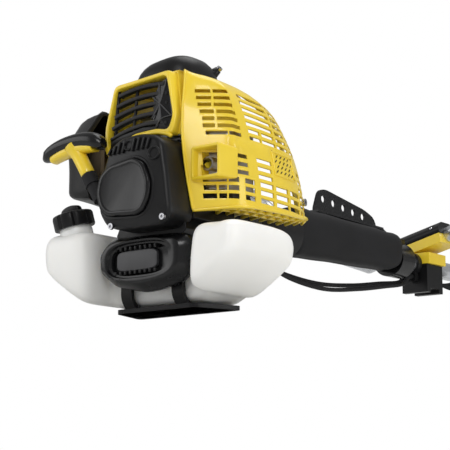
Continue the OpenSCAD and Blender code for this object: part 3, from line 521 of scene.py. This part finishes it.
def build_tank():
    """Saddle tank: two lobes and a low bridge, joined into one skin."""
    parts = []
    # each lobe slopes in at its top, and its bottom climbs towards the outside
    for side, inner, top in ((-1, -70, 97), (1, 80, 87)):
        x0, x1 = sorted((inner, side * 144))
        v, f = superlobe(x0, x1, -81, 41, 7, top, power=6.0, nx=56, nz=36)
        for p in v:
            out = min(1.0, max(0.0, (abs(p[0]) - 70) / 76))
            p[0] += side * max(0.0, p[2] - 50) * 0.10 * (1 - out)
            if p[2] < 66:
                p[2] += (66 - p[2]) * 0.80 * out ** 1.5
                p[0] -= side * (66 - p[2]) * 0.22 * out
            if p[1] > 0:
                p[2] -= p[1] * 0.06
            if side > 0 and p[1] < -60:
                p[2] -= 2.5 * math.exp(-((p[0] - 112) / 7) ** 2) * (p[2] > 80)
        parts.append((v, f))
    v, f = superlobe(-96, 96, -37, 40, 6, 62, power=5, nx=56, nz=32)
    for p in v:
        if p[2] < 40:
            p[2] += max(0.0, abs(p[0]) - 62) * 0.34
    parts.append((v, f))
    # one skin over the three blocks, eased and kept as a plain mesh
    verts, faces = [], []
    for v, f in parts:
        base = len(verts)
        verts += v
        faces += [tuple(i + base for i in q) for q in f]
    tank = mesh_piece("saddle_tank", verts, faces, "tank_plastic", replaces=["fuel_tank"])
    finish_piece(tank)
    r = tank.modifiers.new("skin", "REMESH")
    r.mode = "VOXEL"
    r.voxel_size = 0.0024
    s = tank.modifiers.new("ease", "SMOOTH")
    s.iterations = 12
    s.factor = 0.6
    bpy.context.view_layer.update()
    dg = bpy.context.evaluated_depsgraph_get()
    baked = bpy.data.meshes.new_from_object(tank.evaluated_get(dg))
    tank.modifiers.clear()
    tank.data = baked
    for p in tank.data.polygons:
        p.use_smooth = True
    dress(tank, "tank_plastic")
    lathe("filler_neck", [(19.5, -12), (19.5, 2), (18.6, 5), (18.6, 13)], FILLER, FILLER_LEAN,
          "tank_plastic")


def lathe(name, profile, place, lean, slot, body=ROOT, sides=48, replaces=(), wave=None):
    """Turned solid: profile is (radius, height) pairs, and wave varies the radius round it."""
    turn = tipped(lean)
    verts = []
    for r, h in profile:
        for k in range(sides):
            a = 2 * math.pi * k / sides
            rr = r * (wave(a, h) if wave else 1)
            verts.append(Vector(place) + turn @ Vector((rr * math.cos(a), rr * math.sin(a), h)))
    rings = len(profile)
    faces = ring_faces(rings, sides)
    faces.append(tuple(range(sides - 1, -1, -1)))
    faces.append(tuple(range((rings - 1) * sides, rings * sides)))
    obj = mesh_piece(name, verts, faces, slot, body, replaces)
    return finish_piece(obj, bevel=0.0005)


def build_cap():
    """Screw cap with grip notches and a bar across its top."""
    def notch(a, h):
        return 1 - 0.10 * max(0, math.cos(a * 8)) ** 6 * (1 if h < 22 else 0.3)
    lathe("screw_cap", [(23, 6.4), (24.3, 7.4), (24.3, 21), (23.2, 23.4), (20.5, 24.3), (10, 24.6)],
          FILLER, FILLER_LEAN, "black_plastic", "tank_cap", 96, ["fuel_cap"], wave=notch)
    turn = tipped(FILLER_LEAN)
    verts, faces = [], []
    n = 14
    for s in (-4, 4):
        for k in range(n + 1):
            w = math.pi * k / n
            arch = Vector((-14 * math.cos(w), s, 23.4 + 10 * math.sin(w) ** 0.5))
            verts.append(Vector(FILLER) + turn @ arch)
    for k in range(n):
        faces.append((k, k + 1, k + n + 2, k + n + 1))
    faces += [tuple(range(n, -1, -1)), tuple(range(n + 1, 2 * n + 2)), (0, n + 1, 2 * n + 1, n)]
    grip = mesh_piece("screw_cap_grip", verts, faces, "black_plastic", "tank_cap")
    finish_piece(grip, bevel=0.001)


build_tank()
build_cap()


# ---- Rear of the engine: starter housing, shroud, grille, top cap ----------------------------

def smooth_outline(pts, rounds=3):
    """Closed outline with its corners cut round."""
    for _ in range(rounds):
        out = []
        for (ax, az), (bx, bz) in zip(pts, pts[1:] + pts[:1]):
            cut = min(0.22, 3.2 / max(1.0, math.dist((ax, az), (bx, bz))))
            out += [(ax + (bx - ax) * cut, az + (bz - az) * cut),
                    (bx + (ax - bx) * cut, bz + (az - bz) * cut)]
        pts = out
    return pts


def radial(pts, centre, n=96, grow=0.0, rounds=2):
    """Outline sampled by direction from its centre, grown or shrunk along it."""
    pts = smooth_outline([tuple(p) for p in pts], rounds)
    cx, cz = centre
    out = []
    for k in range(n):
        a = 2 * math.pi * k / n
        ux, uz = math.cos(a), math.sin(a)
        best = 0.0
        for (ax, az), (bx, bz) in zip(pts, pts[1:] + pts[:1]):
            ex, ez = bx - ax, bz - az
            det = ux * -ez + ex * uz
            if abs(det) < 1e-9:
                continue
            t = ((ax - cx) * -ez + ex * (az - cz)) / det
            s = (ux * (az - cz) - uz * (ax - cx)) / det
            if -1e-6 <= s <= 1.000001 and t > best:
                best = t
        out.append((cx + ux * (best + grow), cz + uz * (best + grow)))
    return out


def loft(name, rings, slot, body=ROOT, replaces=(), first=True, last=True, bevel=0.0004):
    """Joins closed rings of points in order and caps the ends."""
    n = len(rings[0])
    verts = [p for ring in rings for p in ring]
    faces = ring_faces(len(rings), n)
    if first:
        faces.append(tuple(range(n - 1, -1, -1)))
    if last:
        faces.append(tuple(range((len(rings) - 1) * n, len(rings) * n)))
    obj = mesh_piece(name, verts, faces, slot, body, replaces)
    return finish_piece(obj, bevel=bevel)


def ring_at(pts, y):
    """Outline seen from behind, set at a distance y."""
    return [(x, y, z) for x, z in pts]


# Outlines seen from behind, in X and Z
STARTER = [(-30, 92), (-12, 86), (52, 85), (66, 96), (60, 140), (53, 178), (44, 187), (20, 192), (-8, 191),
           (-26, 181), (-35, 160), (-43, 135), (-41, 108)]
BADGE = [(-20, 158), (16, 163), (30, 156), (39, 136), (38, 118), (30, 104), (20, 100), (-22, 103),
         (-33, 113), (-38, 130), (-34, 148)]
SHROUD_FRONT = [(-50, 176), (-58, 186), (-58, 214), (-44, 263), (42, 268), (49.6, 214), (45, 193.4),
                (37, 193), (22, 197), (-10, 196), (-31, 187)]
WINDOW = [(-53, 190), (-52, 214), (-40.5, 257.5), (36, 262.5), (46, 214), (39, 198), (22, 202), (-12, 201),
          (-32, 192), (-44, 183)]


def build_starter():
    """Starter housing with its sunk plate, vents, boss and port."""
    mid = (4, 136)

    def full(grow):
        return radial(STARTER, mid, 120, grow)

    def badge(grow):
        return radial(BADGE, mid, 120, grow)

    rings = [ring_at(full(-3), -50), ring_at(full(0), -51.5), ring_at(full(0), -84),
             ring_at(full(-0.9), -87), ring_at(full(-3.2), -89.2), ring_at(full(-6), -90),
             ring_at(badge(5.0), -90.4), ring_at(badge(4.2), -91.6),
             ring_at(badge(2.2), -91.6), ring_at(badge(1.6), -89)]
    loft("starter_case", rings, "black_plastic", replaces=["starter_housing"], bevel=0.0003)
    plate = [ring_at(badge(1.1), -88.8), ring_at(badge(1.1), -93.6), ring_at(badge(0.2), -95.2),
             ring_at(badge(-2.0), -95.9), ring_at(badge(-4.2), -95.7), ring_at(badge(-5.0), -95.1)]
    loft("starter_plate", plate, "gloss_black", replaces=["starter_badge"], bevel=0.0003)
    # slanted vents with a round boss between them, in a sunk field
    for k in range(9):
        x = -25 + k * 7.2
        if 0 < x < 10:
            continue
        z0, z1 = 172.5, at([(-26, 178), (-8, 186), (20, 187), (34, 184)], x)
        verts = []
        for s in (-1.5, 1.5):
            for y in (-90.0, -92.4):
                verts += [(x + s, y, z0), (x + s + 4, y, z1)]
        rib = mesh_piece(f"starter_vent_{k}", verts, BAR_FACES, "black_plastic")
        finish_piece(rib, bevel=0.0005)
    sides = 32
    for name, place, r in (("starter_boss", (5, 180), 7.2), ("starter_port", (43, 166), 9.0)):
        verts = []
        prof = [(r, -89.6), (r, -91.8), (r - 0.8, -92.4), (r - 2.0, -92.0), (r - 2.3, -89.9)]
        for rr, y in prof:
            for k in range(sides):
                a = 2 * math.pi * k / sides
                verts.append((place[0] + rr * math.cos(a), y, place[1] + rr * math.sin(a) * 0.86))
        faces = ring_faces(len(prof), sides)
        faces.append(tuple(range((len(prof) - 1) * sides, len(prof) * sides)))
        finish_piece(mesh_piece(name, verts, faces, "black_plastic"))


def build_shroud():
    """Yellow frame round the grille, with the hood behind it and the band below it."""
    mid = (-3, 226)

    def outer(grow):
        return radial(SHROUD_FRONT, mid, 120, grow)

    def inner(grow):
        return radial(WINDOW, mid, 120, grow)

    rings = [ring_at(outer(0), -50), ring_at(outer(0), -60), ring_at(outer(-0.8), -62.6),
             ring_at(outer(-2.0), -63.8), ring_at(inner(1.6), -63.9), ring_at(inner(0.4), -63.2),
             ring_at(inner(0), -62), ring_at(inner(-0.4), -50)]
    loft("shroud_frame", rings, "yellow_plastic", replaces=["top_shroud"], first=False, last=False)
    # hood behind the frame, open below
    line = spline([(-52, 168), (-58, 178), (-58.5, 214), (-52, 243), (-46, 259), (-40, 264.5),
                   (38, 268.5), (44, 265), (47.5, 240), (50, 214), (46.5, 194)], 5)
    verts, faces = [], []
    ys = [-52 + 6 * k for k in range(20)]
    for y in ys:
        droop = 0 if y < 30 else (y - 30) * 0.25
        for x, z in line:
            verts.append((x * (1 - max(0, y - 40) * 0.001), y, z - (droop if z > 250 else 0)))
    n = len(line)
    for j in range(len(ys) - 1):
        for i in range(n - 1):
            if ys[j] > -34 and line[i][1] < 196 and line[i][0] < 0:
                continue
            a = j * n + i
            faces.append((a, a + 1, a + n + 1, a + n))
    hood = mesh_piece("shroud_hood", verts, faces, "yellow_plastic")
    finish_piece(hood, thick=0.0026, bevel=0.0005)
    # curved band that follows the top of the starter housing
    band = spline([[-45, -62.5, 146], [-40, -63, 160], [-33, -63, 180], [-22, -63, 192], [-8, -63, 197],
                   [20, -63, 197.5], [36, -63, 194], [44, -62.5, 190]], 6)
    tube("shroud_band", band, 2.5, "yellow_plastic", sides=12)


SLAT_CENTRE = (6, 60)       # the grille's slats are arcs about this point, in X and Z


def arc_bar(name, radius, half, depth, y, a0, a1, slot, replaces=(), steps=28):
    """Flat bar bent along an arc seen from behind, between two angles in degrees."""
    verts, faces = [], []
    for k in range(steps + 1):
        a = math.radians(a0 + (a1 - a0) * k / steps)
        for r in (radius - half, radius + half):
            for yy in (y, y + depth):
                verts.append((SLAT_CENTRE[0] + r * math.cos(a), yy, SLAT_CENTRE[1] + r * math.sin(a)))
    for k in range(steps):
        b = k * 4
        faces += [(b, b + 4, b + 6, b + 2), (b + 1, b + 3, b + 7, b + 5), (b, b + 1, b + 5, b + 4),
                  (b + 2, b + 6, b + 7, b + 3)]
    faces += [(0, 2, 3, 1), (steps * 4, steps * 4 + 1, steps * 4 + 3, steps * 4 + 2)]
    obj = mesh_piece(name, verts, faces, slot, replaces=replaces)
    return finish_piece(obj, bevel=0.0006)


def build_grille():
    """Bent slats on posts, a solid sill below and a faceted shield at one side."""
    for k in range(6):
        r = 139 + k * 11.2
        a0 = math.degrees(math.acos(min(31, 31 - (k - 4) * 4) / r))
        a1 = 180 - math.degrees(math.acos((56.5, 56, 54, 50.5, 47.5, 44)[k] / r))
        arc_bar(f"grille_slat_{k}", r, 2.3, 7, -62.2, a0, a1, "black_plastic",
                replaces=["rear_grille"] if k == 0 else ())
    low = [(-50, 182), (-50, 200), (-30, 203), (0, 207), (22, 205), (39, 201), (38, 198), (22, 201.5),
           (-12, 200.5), (-33, 191)]
    loft("grille_sill", [ring_at(low, -56), ring_at(low, -61.5)], "black_plastic")
    for k, x in enumerate((-45, -16)):
        pts = [[x, -59, 196], [x + 1, -59, 215], [x + 3, -59, 235], [x + 6, -59, 256]]
        tube(f"grille_post_{k}", pts, 2.0, "black_plastic", sides=10)
    # faceted shield on the exhaust side
    shield = [(14, 214), (20, 203), (36, 199), (43, 214), (36, 260), (24, 256), (15, 240)]
    verts = [(x, -60.4, z) for x, z in shield] + [(x, -57, z) for x, z in shield]
    verts += [(27, -64.2, 230), (29, -63.6, 212)]
    n = len(shield)
    faces = [(k, (k + 1) % n, n + (k + 1) % n, n + k) for k in range(n)]
    # two raised points carry the facets of the back
    faces += [(0, 14, 15), (1, 0, 15), (2, 1, 15), (3, 2, 15), (14, 3, 15), (4, 3, 14), (5, 4, 14),
              (6, 5, 14), (0, 6, 14)]
    faces.append(tuple(range(2 * n - 1, n - 1, -1)))
    finish_piece(mesh_piece("grille_shield", verts, faces, "gloss_black", smooth=False), bevel=0.0006)
    lines = [[(14, 214), (27, 230), (36, 260)], [(15, 240), (27, 230), (43, 214)],
             [(20, 203), (29, 212), (43, 214)], [(24, 256), (27, 230), (29, 212)]]
    for k, run in enumerate(lines):
        # the lines rise over the shield's middle
        rise = [2.9 * (1 - min(1, math.dist(p, (28, 222)) / 30)) for p in run]
        pts = spline([[x, -61.4 - h, z] for (x, z), h in zip(run, rise)], 5)
        tube(f"grille_line_{k}", pts, 0.8, "label", sides=6)


def build_top_cap():
    """Domed cap over the cylinder, from its rim up to its crown."""
    rings = []
    for k in range(9):
        w = math.radians(90 * k / 8)
        c, s = math.cos(w), math.sin(w)
        ring = []
        for q in range(64):
            a = 2 * math.pi * q / 64
            ex, ey = signed_power(math.cos(a), 0.7), signed_power(math.sin(a), 0.7)
            grow = c ** 0.55
            x = -3 + 45 * ex * grow + 4 * s
            y = 2 - 4 * s + 44 * ey * grow
            z = 264 + 34 * s + x * 0.10 * s - max(0, y - 4) * 0.08
            ring.append((x, y, z))
        rings.append(ring)
    loft("engine_top_cap", rings, "black_plastic", replaces=["top_cap"])


def build_shade_panels():
    """Dark panels behind the starter housing and under the cylinder: painted shade in place of the
    crankcase side in shadow; and the boss of a cap screw.
    """
    # black panel beside the starter housing: painted shade of the crankcase side in shadow
    side = [(44, 92), (66, 97), (64, 130), (56, 172), (50, 184), (40, 184)]
    loft("shade_panel_side", [ring_at(side, y) for y in (-49, -48, 20, 24)], "black_plastic", bevel=0.0012)
    # black plate below the starter housing, above the guard: painted shade in the gap between them
    low = [(-34, 70), (46, 70), (62, 84), (60, 98), (-36, 98), (-42, 86)]
    loft("shade_panel_low", [ring_at(low, y) for y in (-58, -57, -12, -10)], "black_plastic", bevel=0.0012)
    tube("cap_screw_boss", [[24, 26, 278], [31, 28, 286], [36.2, 29.9, 289.7]], [7, 6, 4.4],
         "black_plastic", sides=16)


build_shade_panels()
build_starter()
build_shroud()
build_grille()
build_top_cap()


# ---- Lower guard, label plate, foam pad, cables ----------------------------------------------

GUARD = [(-61, 66), (-50, 79), (-36, 84), (40, 81.5), (60, 80), (68, 70), (67, 54), (66, 38), (52, 26),
         (20, 20.5), (0, 19), (-37, 28), (-60, 46)]


def oval(cx, cz, hx, hz, n=120, power=3.0):
    """Squared-off oval in X and Z."""
    out = []
    for k in range(n):
        a = 2 * math.pi * k / n
        out.append((cx + hx * signed_power(math.cos(a), 2 / power),
                    cz + hz * signed_power(math.sin(a), 2 / power)))
    return out


def build_guard():
    """Lower guard with its sunk oval, two rows of teeth, a plain plate and a side facet."""
    mid = (3, 54)

    def outline(g, pull=1.0):
        pts = radial(GUARD, mid, 120, 0)
        return [(mid[0] + (x - mid[0]) * g * (1.10 if x < mid[0] else 1.03),
                 mid[1] + (z - mid[1]) * g * pull) for x, z in pts]

    rings = [ring_at(outline(0.97), -48), ring_at(outline(1.0), -49.5), ring_at(outline(1.0), -57),
             ring_at(outline(0.985), -58.6), ring_at(outline(0.86, 0.93), -67.8),
             ring_at(outline(0.84, 0.91), -68.4),
             ring_at(oval(1, 54.5, 51, 22.5), -68.8), ring_at(oval(1, 54.5, 48.5, 20.5), -68.4),
             ring_at(oval(1, 54.5, 47, 19.3), -65.2), ring_at(oval(0, 54.7, 42.5, 17.5), -65.0),
             ring_at(oval(0, 54.7, 41.5, 16.8), -58.4)]
    loft("lower_guard", rings, "gloss_black", replaces=["tank_guard"], bevel=0.0004)
    for k in range(9):
        x = -36 + k * 7.4
        for z0, z1 in ((66.5, 71.0), (39.2, 43.6)):
            v = []
            for s in (-1.7, 1.7):
                for y in (-58.6, -65.6):
                    v += [(x + s, y, z0), (x + s, y, z1)]
            tooth = mesh_piece(f"guard_tooth_{k}_{int(z0)}", v, BAR_FACES, "black_plastic")
            finish_piece(tooth, bevel=0.0006)
    plate = [ring_at(oval(-6, 55, 30, 11.6, power=5), -58.6),
             ring_at(oval(-6, 55, 30, 11.6, power=5), -62.6),
             ring_at(oval(-6, 55, 29.2, 10.8, power=5), -63.4)]
    loft("plain_label", plate, "label", replaces=["guard_label"], bevel=0.0003)
    # flat shiny facet on the exhaust side
    facet = [(50, -66.9, 72), (61, -58.6, 76.5), (66.6, -57.6, 68), (66.2, -57.6, 46), (57.5, -64.2, 43),
             (51.5, -68.0, 56)]
    v = facet + [(x - 0.6, y + 1.4, z) for x, y, z in facet]
    m = len(facet)
    f = [tuple(range(m)), tuple(range(2 * m - 1, m - 1, -1))]
    f += [(k, k + m, (k + 1) % m + m, (k + 1) % m) for k in range(m)]
    finish_piece(mesh_piece("guard_facet", v, f, "gloss_black", smooth=False), bevel=0.0006)


PAD_START, PAD_END = 212, 458       # along the shaft
PAD_BORE = 13.4                     # radius of the hole that the shaft tube fills
PAD_TUCK = 9                        # length over which each end draws in


def build_pad():
    """Foam hip pad: a thick split sleeve round the housing tube, slack between its ends."""
    rings = []
    ys = [212, 213, 215.5, 220, 232, 250, 280, 320, 360, 400, 430, 444, 452, 456, 457.4, 458]
    n = 72
    for y in ys:
        f = (y - PAD_START) / (PAD_END - PAD_START)
        end = min(y - PAD_START, PAD_END - y)
        tuck = 1.0 if end > PAD_TUCK else 0.80 + 0.20 * math.sqrt(max(0.0, 1 - (1 - end / PAD_TUCK) ** 2))
        z0, z1 = 93 + f * 8, 159 - f * 4
        zc, hz = (z0 + z1) / 2, (z1 - z0) / 2
        hx = 28 * (1 - 0.025 * math.sin(f * math.pi))
        ring = []
        for k in range(n):
            a = 2 * math.pi * k / n
            px = hx * signed_power(math.cos(a), 0.72)
            pz = signed_power(math.sin(a), 0.72)
            ripple = 0.5 * math.sin(y * 0.11 + 2.1 * math.sin(a * 2)) + 0.35 * math.sin(y * 0.31 + a * 3)
            groove = 1.6 * math.exp(-((a - math.pi * 1.5) / 0.05) ** 2)
            grow = tuck * (1 + (ripple - groove - 0.6) / 30)
            ring.append((px * grow, y, zc + hz * pz * grow))
        rings.append(ring)
    inner = []
    for y in (PAD_END, PAD_START):
        inner.append([(PAD_BORE * math.cos(2 * math.pi * k / n), y,
                       AXIS_Z + PAD_BORE * math.sin(2 * math.pi * k / n)) for k in range(n)])
    # the sleeve is closed through its bore: outside, end, bore, other end
    rings = [inner[1]] + rings + [inner[0], inner[1]]
    pad = loft("foam_hip_pad", rings, "rubber", replaces=["hip_pad"], first=False, last=False, bevel=0.0)


# Routes from the engine, under the hip pad and through the clip, up to the throttle housing
THROTTLE_ROUTE = [[-68, 18.2, 172], [-66, 54, 166], [-52, 96, 128], [-30, 144, 94], [-8, 210, 72],
                  [-5, 290, 66], [-5, 370, 72], [-4, 440, 82], [-4, 490, 89], [-4, 512, 99],
                  [-4, 560, 99], [-4, 585, 98], [12, 615, 98], [60, 634, 122], [120, 630, 184],
                  [168, 606, 252], [194, 556, 312], [200, 500, 340], [199, 457, 351]]
SWITCH_ROUTE = [[41, 27, 77], [52, 58, 74], [36, 100, 80], [16, 150, 76], [6, 210, 64], [5, 290, 58],
                [5, 370, 66], [4, 440, 77], [4, 490, 86], [4, 512, 99], [4, 560, 99], [4, 585, 98],
                [24, 620, 90], [72, 646, 112], [130, 644, 176], [174, 622, 244], [203, 575, 296],
                [211, 508, 326], [194, 462, 345]]
CABLE_THICK = 5.8


def build_cables():
    """Two sheathed cables that keep their routes."""
    routes = {"throttle_cable": THROTTLE_ROUTE, "switch_lead": SWITCH_ROUTE}
    for name, route in routes.items():
        line = spline(route, 10)
        obj = tube(name + "_sheath", line, CABLE_THICK / 2, "rubber", replaces=[name], sides=14)


build_guard()
build_pad()
build_cables()


# ---- Pull handle and air filter cover --------------------------------------------------------

STEM_FOOT = Vector((-46, -80.5, 125))
STEM_LEAN = Matrix.Rotation(math.radians(-32), 3, "Y")
GRIP_TURN = Matrix.Rotation(math.radians(117), 3, "Y")
GRIP_REACH = Vector((0, 0, 84))     # from the stem's foot to the grip's middle


def pull_frame(p):
    """Point of the grip, given across its depth, across its width and along it, in millimetres."""
    return STEM_LEAN @ (GRIP_TURN @ Vector(p) + GRIP_REACH) + STEM_FOOT


def handle_loft(name, sections, slot, replaces):
    """Grip built from oval sections: place along it, sag, half width and half depth."""
    rings = []
    n = 40
    for z, sag, hw, hd in sections:
        ring = []
        for k in range(n):
            a = 2 * math.pi * k / n
            c, s = signed_power(math.cos(a), 0.85), signed_power(math.sin(a), 0.85)
            ring.append(pull_frame((sag + hd * c, hw * s, z)))
        rings.append(ring)
    return loft(name, rings, slot, "pull_handle", replaces, bevel=0.0003)


def build_handle():
    """Pull handle: bowed rubber grip over a yellow core and stem."""
    half = 44
    top, under = [], []
    for k in range(17):
        f = -1 + 2 * k / 16
        z = half * f
        end = math.sqrt(max(0.0, 1 - abs(f) ** 7))
        sag = -4.5 + 7.5 * f * f
        deep, shrink = 9.6 + 1.2 * f, 0.5 + 0.5 * end
        top.append((z * 1.07, sag - 7.5 + deep + 2.5 * f ** 4, 11.4 * shrink, deep * shrink))
        if abs(f) < 0.86:
            under.append((z, sag + 11.0, 9.2 - 2.0 * f * f, 6.4 - 2.6 * f * f))
    handle_loft("handle_rubber", top, "gloss_black", ["handle_overmould"])
    handle_loft("handle_core", under, "yellow_plastic", ["starter_handle"])
    widths = [(37.6, 7.4), (39, 8.2), (44, 8.4), (56, 8.4), (68, 8.8), (74, 10.2), (78, 12.0), (81, 13.0)]
    stem = [STEM_FOOT + STEM_LEAN @ Vector((0, 0, h)) for h, _ in widths]
    tube("handle_stem", stem, [r for _, r in widths], "yellow_plastic", "pull_handle", sides=28)


def build_filter_cover():
    """Domed cover of the air filter, with a parting rim and a few ribs."""
    side = [(-54, 138), (44, 130), (46, 190), (30, 226), (0, 240), (-34, 246), (-60, 212)]
    mid = (-6, 186)
    n = 96
    # distance to the side, and how far the outline grows or shrinks there
    outside = ((-89, 0), (-92, 0.4), (-95, 0.2), (-104, -0.6), (-116, -2.6), (-126, -6.0), (-132, -10.5),
               (-136, -17), (-137.8, -27), (-138, -40))
    inside = ((-134, -38), (-133, -24), (-126, -11), (-112, -5.4), (-95, -3.2), (-89, -3.2))
    verts = [(x, y, z) for x, g in outside + inside for y, z in radial(side, mid, n, g)]
    m = len(outside)
    faces = ring_faces(m, n) + ring_faces(len(inside), n, m * n)
    faces.append(tuple(range((m - 1) * n, m * n)))
    faces.append(tuple(range(m * n, m * n + n)))
    last = (m + len(inside) - 1) * n
    for k in range(n):
        faces.append((k, last + k, last + (k + 1) % n, (k + 1) % n))
    cover = mesh_piece("filter_cover_shell", verts, faces, "black_plastic", replaces=["air_filter_cover"])
    finish_piece(cover, bevel=0.0003)
    rim = [(-91, y, z) for y, z in radial(side, mid, 72, 1.0)]
    tube("filter_cover_rim", rim + [rim[0]], 1.6, "black_plastic", sides=8, caps=False)
    for k in range(4):
        y = -24 + k * 11
        rib = [[-137.2, y, 160], [-138.4, y, 168], [-138.4, y, 196], [-136.8, y, 206]]
        tube(f"filter_cover_rib_{k}", rib, 1.3, "black_plastic", sides=8)


build_handle()
build_filter_cover()


# ---- Floor, light and camera -----------------------------------------------------------------

def floor_material():
    """Pale floor, seen from above only, so that a low camera looks up through it."""
    m = material("pale_floor", (0.86, 0.86, 0.85), 0.6, 60, 0.02, 0.01)
    n, l = m.node_tree.nodes, m.node_tree.links
    side = n.new("ShaderNodeNewGeometry")
    clear = n.new("ShaderNodeBsdfTransparent")
    mix = n.new("ShaderNodeMixShader")
    l.new(side.outputs["Backfacing"], mix.inputs["Fac"])
    l.new(n["Principled BSDF"].outputs["BSDF"], mix.inputs[1])
    l.new(clear.outputs["BSDF"], mix.inputs[2])
    l.new(mix.outputs["Shader"], n["Material Output"].inputs["Surface"])
    return m


FLOOR_HALF, FLOOR_Z = 6.0, -0.0006
WORLD_SEEN, WORLD_LIT = 1.0, 0.42   # strength of the backdrop to the camera, and as light
# name, place, size and watts of each lamp
LAMPS = (("key", (1.3, -2.0, 1.5), 0.9, 22), ("fill", (-1.8, -1.4, 0.9), 1.2, 9),
         ("top", (0.2, 0.6, 2.2), 1.6, 22), ("side", (2.4, 0.6, 0.5), 1.0, 12))
LAMP_TARGET = Vector((0, 0.05, 0.15))


def build_stage():
    """Floor, plain white backdrop and four soft lamps."""
    me = bpy.data.meshes.new("floor")
    s, z = FLOOR_HALF, FLOOR_Z
    me.from_pydata([(-s, -s, z), (s, -s, z), (s, s, z), (-s, s, z)], [], [(0, 1, 2, 3)])
    floor = bpy.data.objects.new("floor", me)
    me.materials.append(floor_material())
    bpy.context.collection.objects.link(floor)
    world = bpy.data.worlds.new("studio")
    bpy.context.scene.world = world
    world.use_nodes = True
    n, l = world.node_tree.nodes, world.node_tree.links
    seen, lit = n["Background"], n.new("ShaderNodeBackground")
    seen.inputs["Color"].default_value = (1, 1, 1, 1)
    lit.inputs["Color"].default_value = (1, 1, 1, 1)
    seen.inputs["Strength"].default_value = WORLD_SEEN
    lit.inputs["Strength"].default_value = WORLD_LIT
    path, pick = n.new("ShaderNodeLightPath"), n.new("ShaderNodeMixShader")
    l.new(path.outputs["Is Camera Ray"], pick.inputs["Fac"])
    l.new(lit.outputs["Background"], pick.inputs[1])
    l.new(seen.outputs["Background"], pick.inputs[2])
    l.new(pick.outputs["Shader"], n["World Output"].inputs["Surface"])
    for name, place, size, power in LAMPS:
        light = bpy.data.lights.new(name, "AREA")
        light.size = size
        light.energy = power
        lamp = bpy.data.objects.new(name, light)
        lamp.location = place
        aim = LAMP_TARGET - Vector(place)
        lamp.rotation_euler = aim.to_track_quat("-Z", "Y").to_euler()
        bpy.context.collection.objects.link(lamp)


CAMERA_PLACE = (1.0065, -1.1686, -0.176)
CAMERA_YAW, CAMERA_PITCH = 38.7, 10.26      # degrees left of +Y, and upwards
CAMERA_LENS = 108.24                        # millimetres on a 36 mm sensor


def build_camera():
    """Camera behind the engine and below the floor, looking a little upwards."""
    yaw, pitch = math.radians(CAMERA_YAW), math.radians(CAMERA_PITCH)
    right = Vector((math.cos(yaw), math.sin(yaw), 0))
    ahead = Vector((-math.sin(yaw) * math.cos(pitch), math.cos(yaw) * math.cos(pitch), math.sin(pitch)))
    up = right.cross(ahead)
    cam = bpy.data.cameras.new("camera")
    cam.sensor_width = 36
    cam.lens = CAMERA_LENS
    obj = bpy.data.objects.new("camera", cam)
    turn = Matrix((right, up, -ahead)).transposed().to_4x4()
    obj.matrix_world = Matrix.Translation(CAMERA_PLACE) @ turn
    bpy.context.collection.objects.link(obj)
    bpy.context.scene.camera = obj


build_stage()
build_camera()
view = bpy.context.scene.view_settings
view.view_transform = "Standard"
view.look = "None"
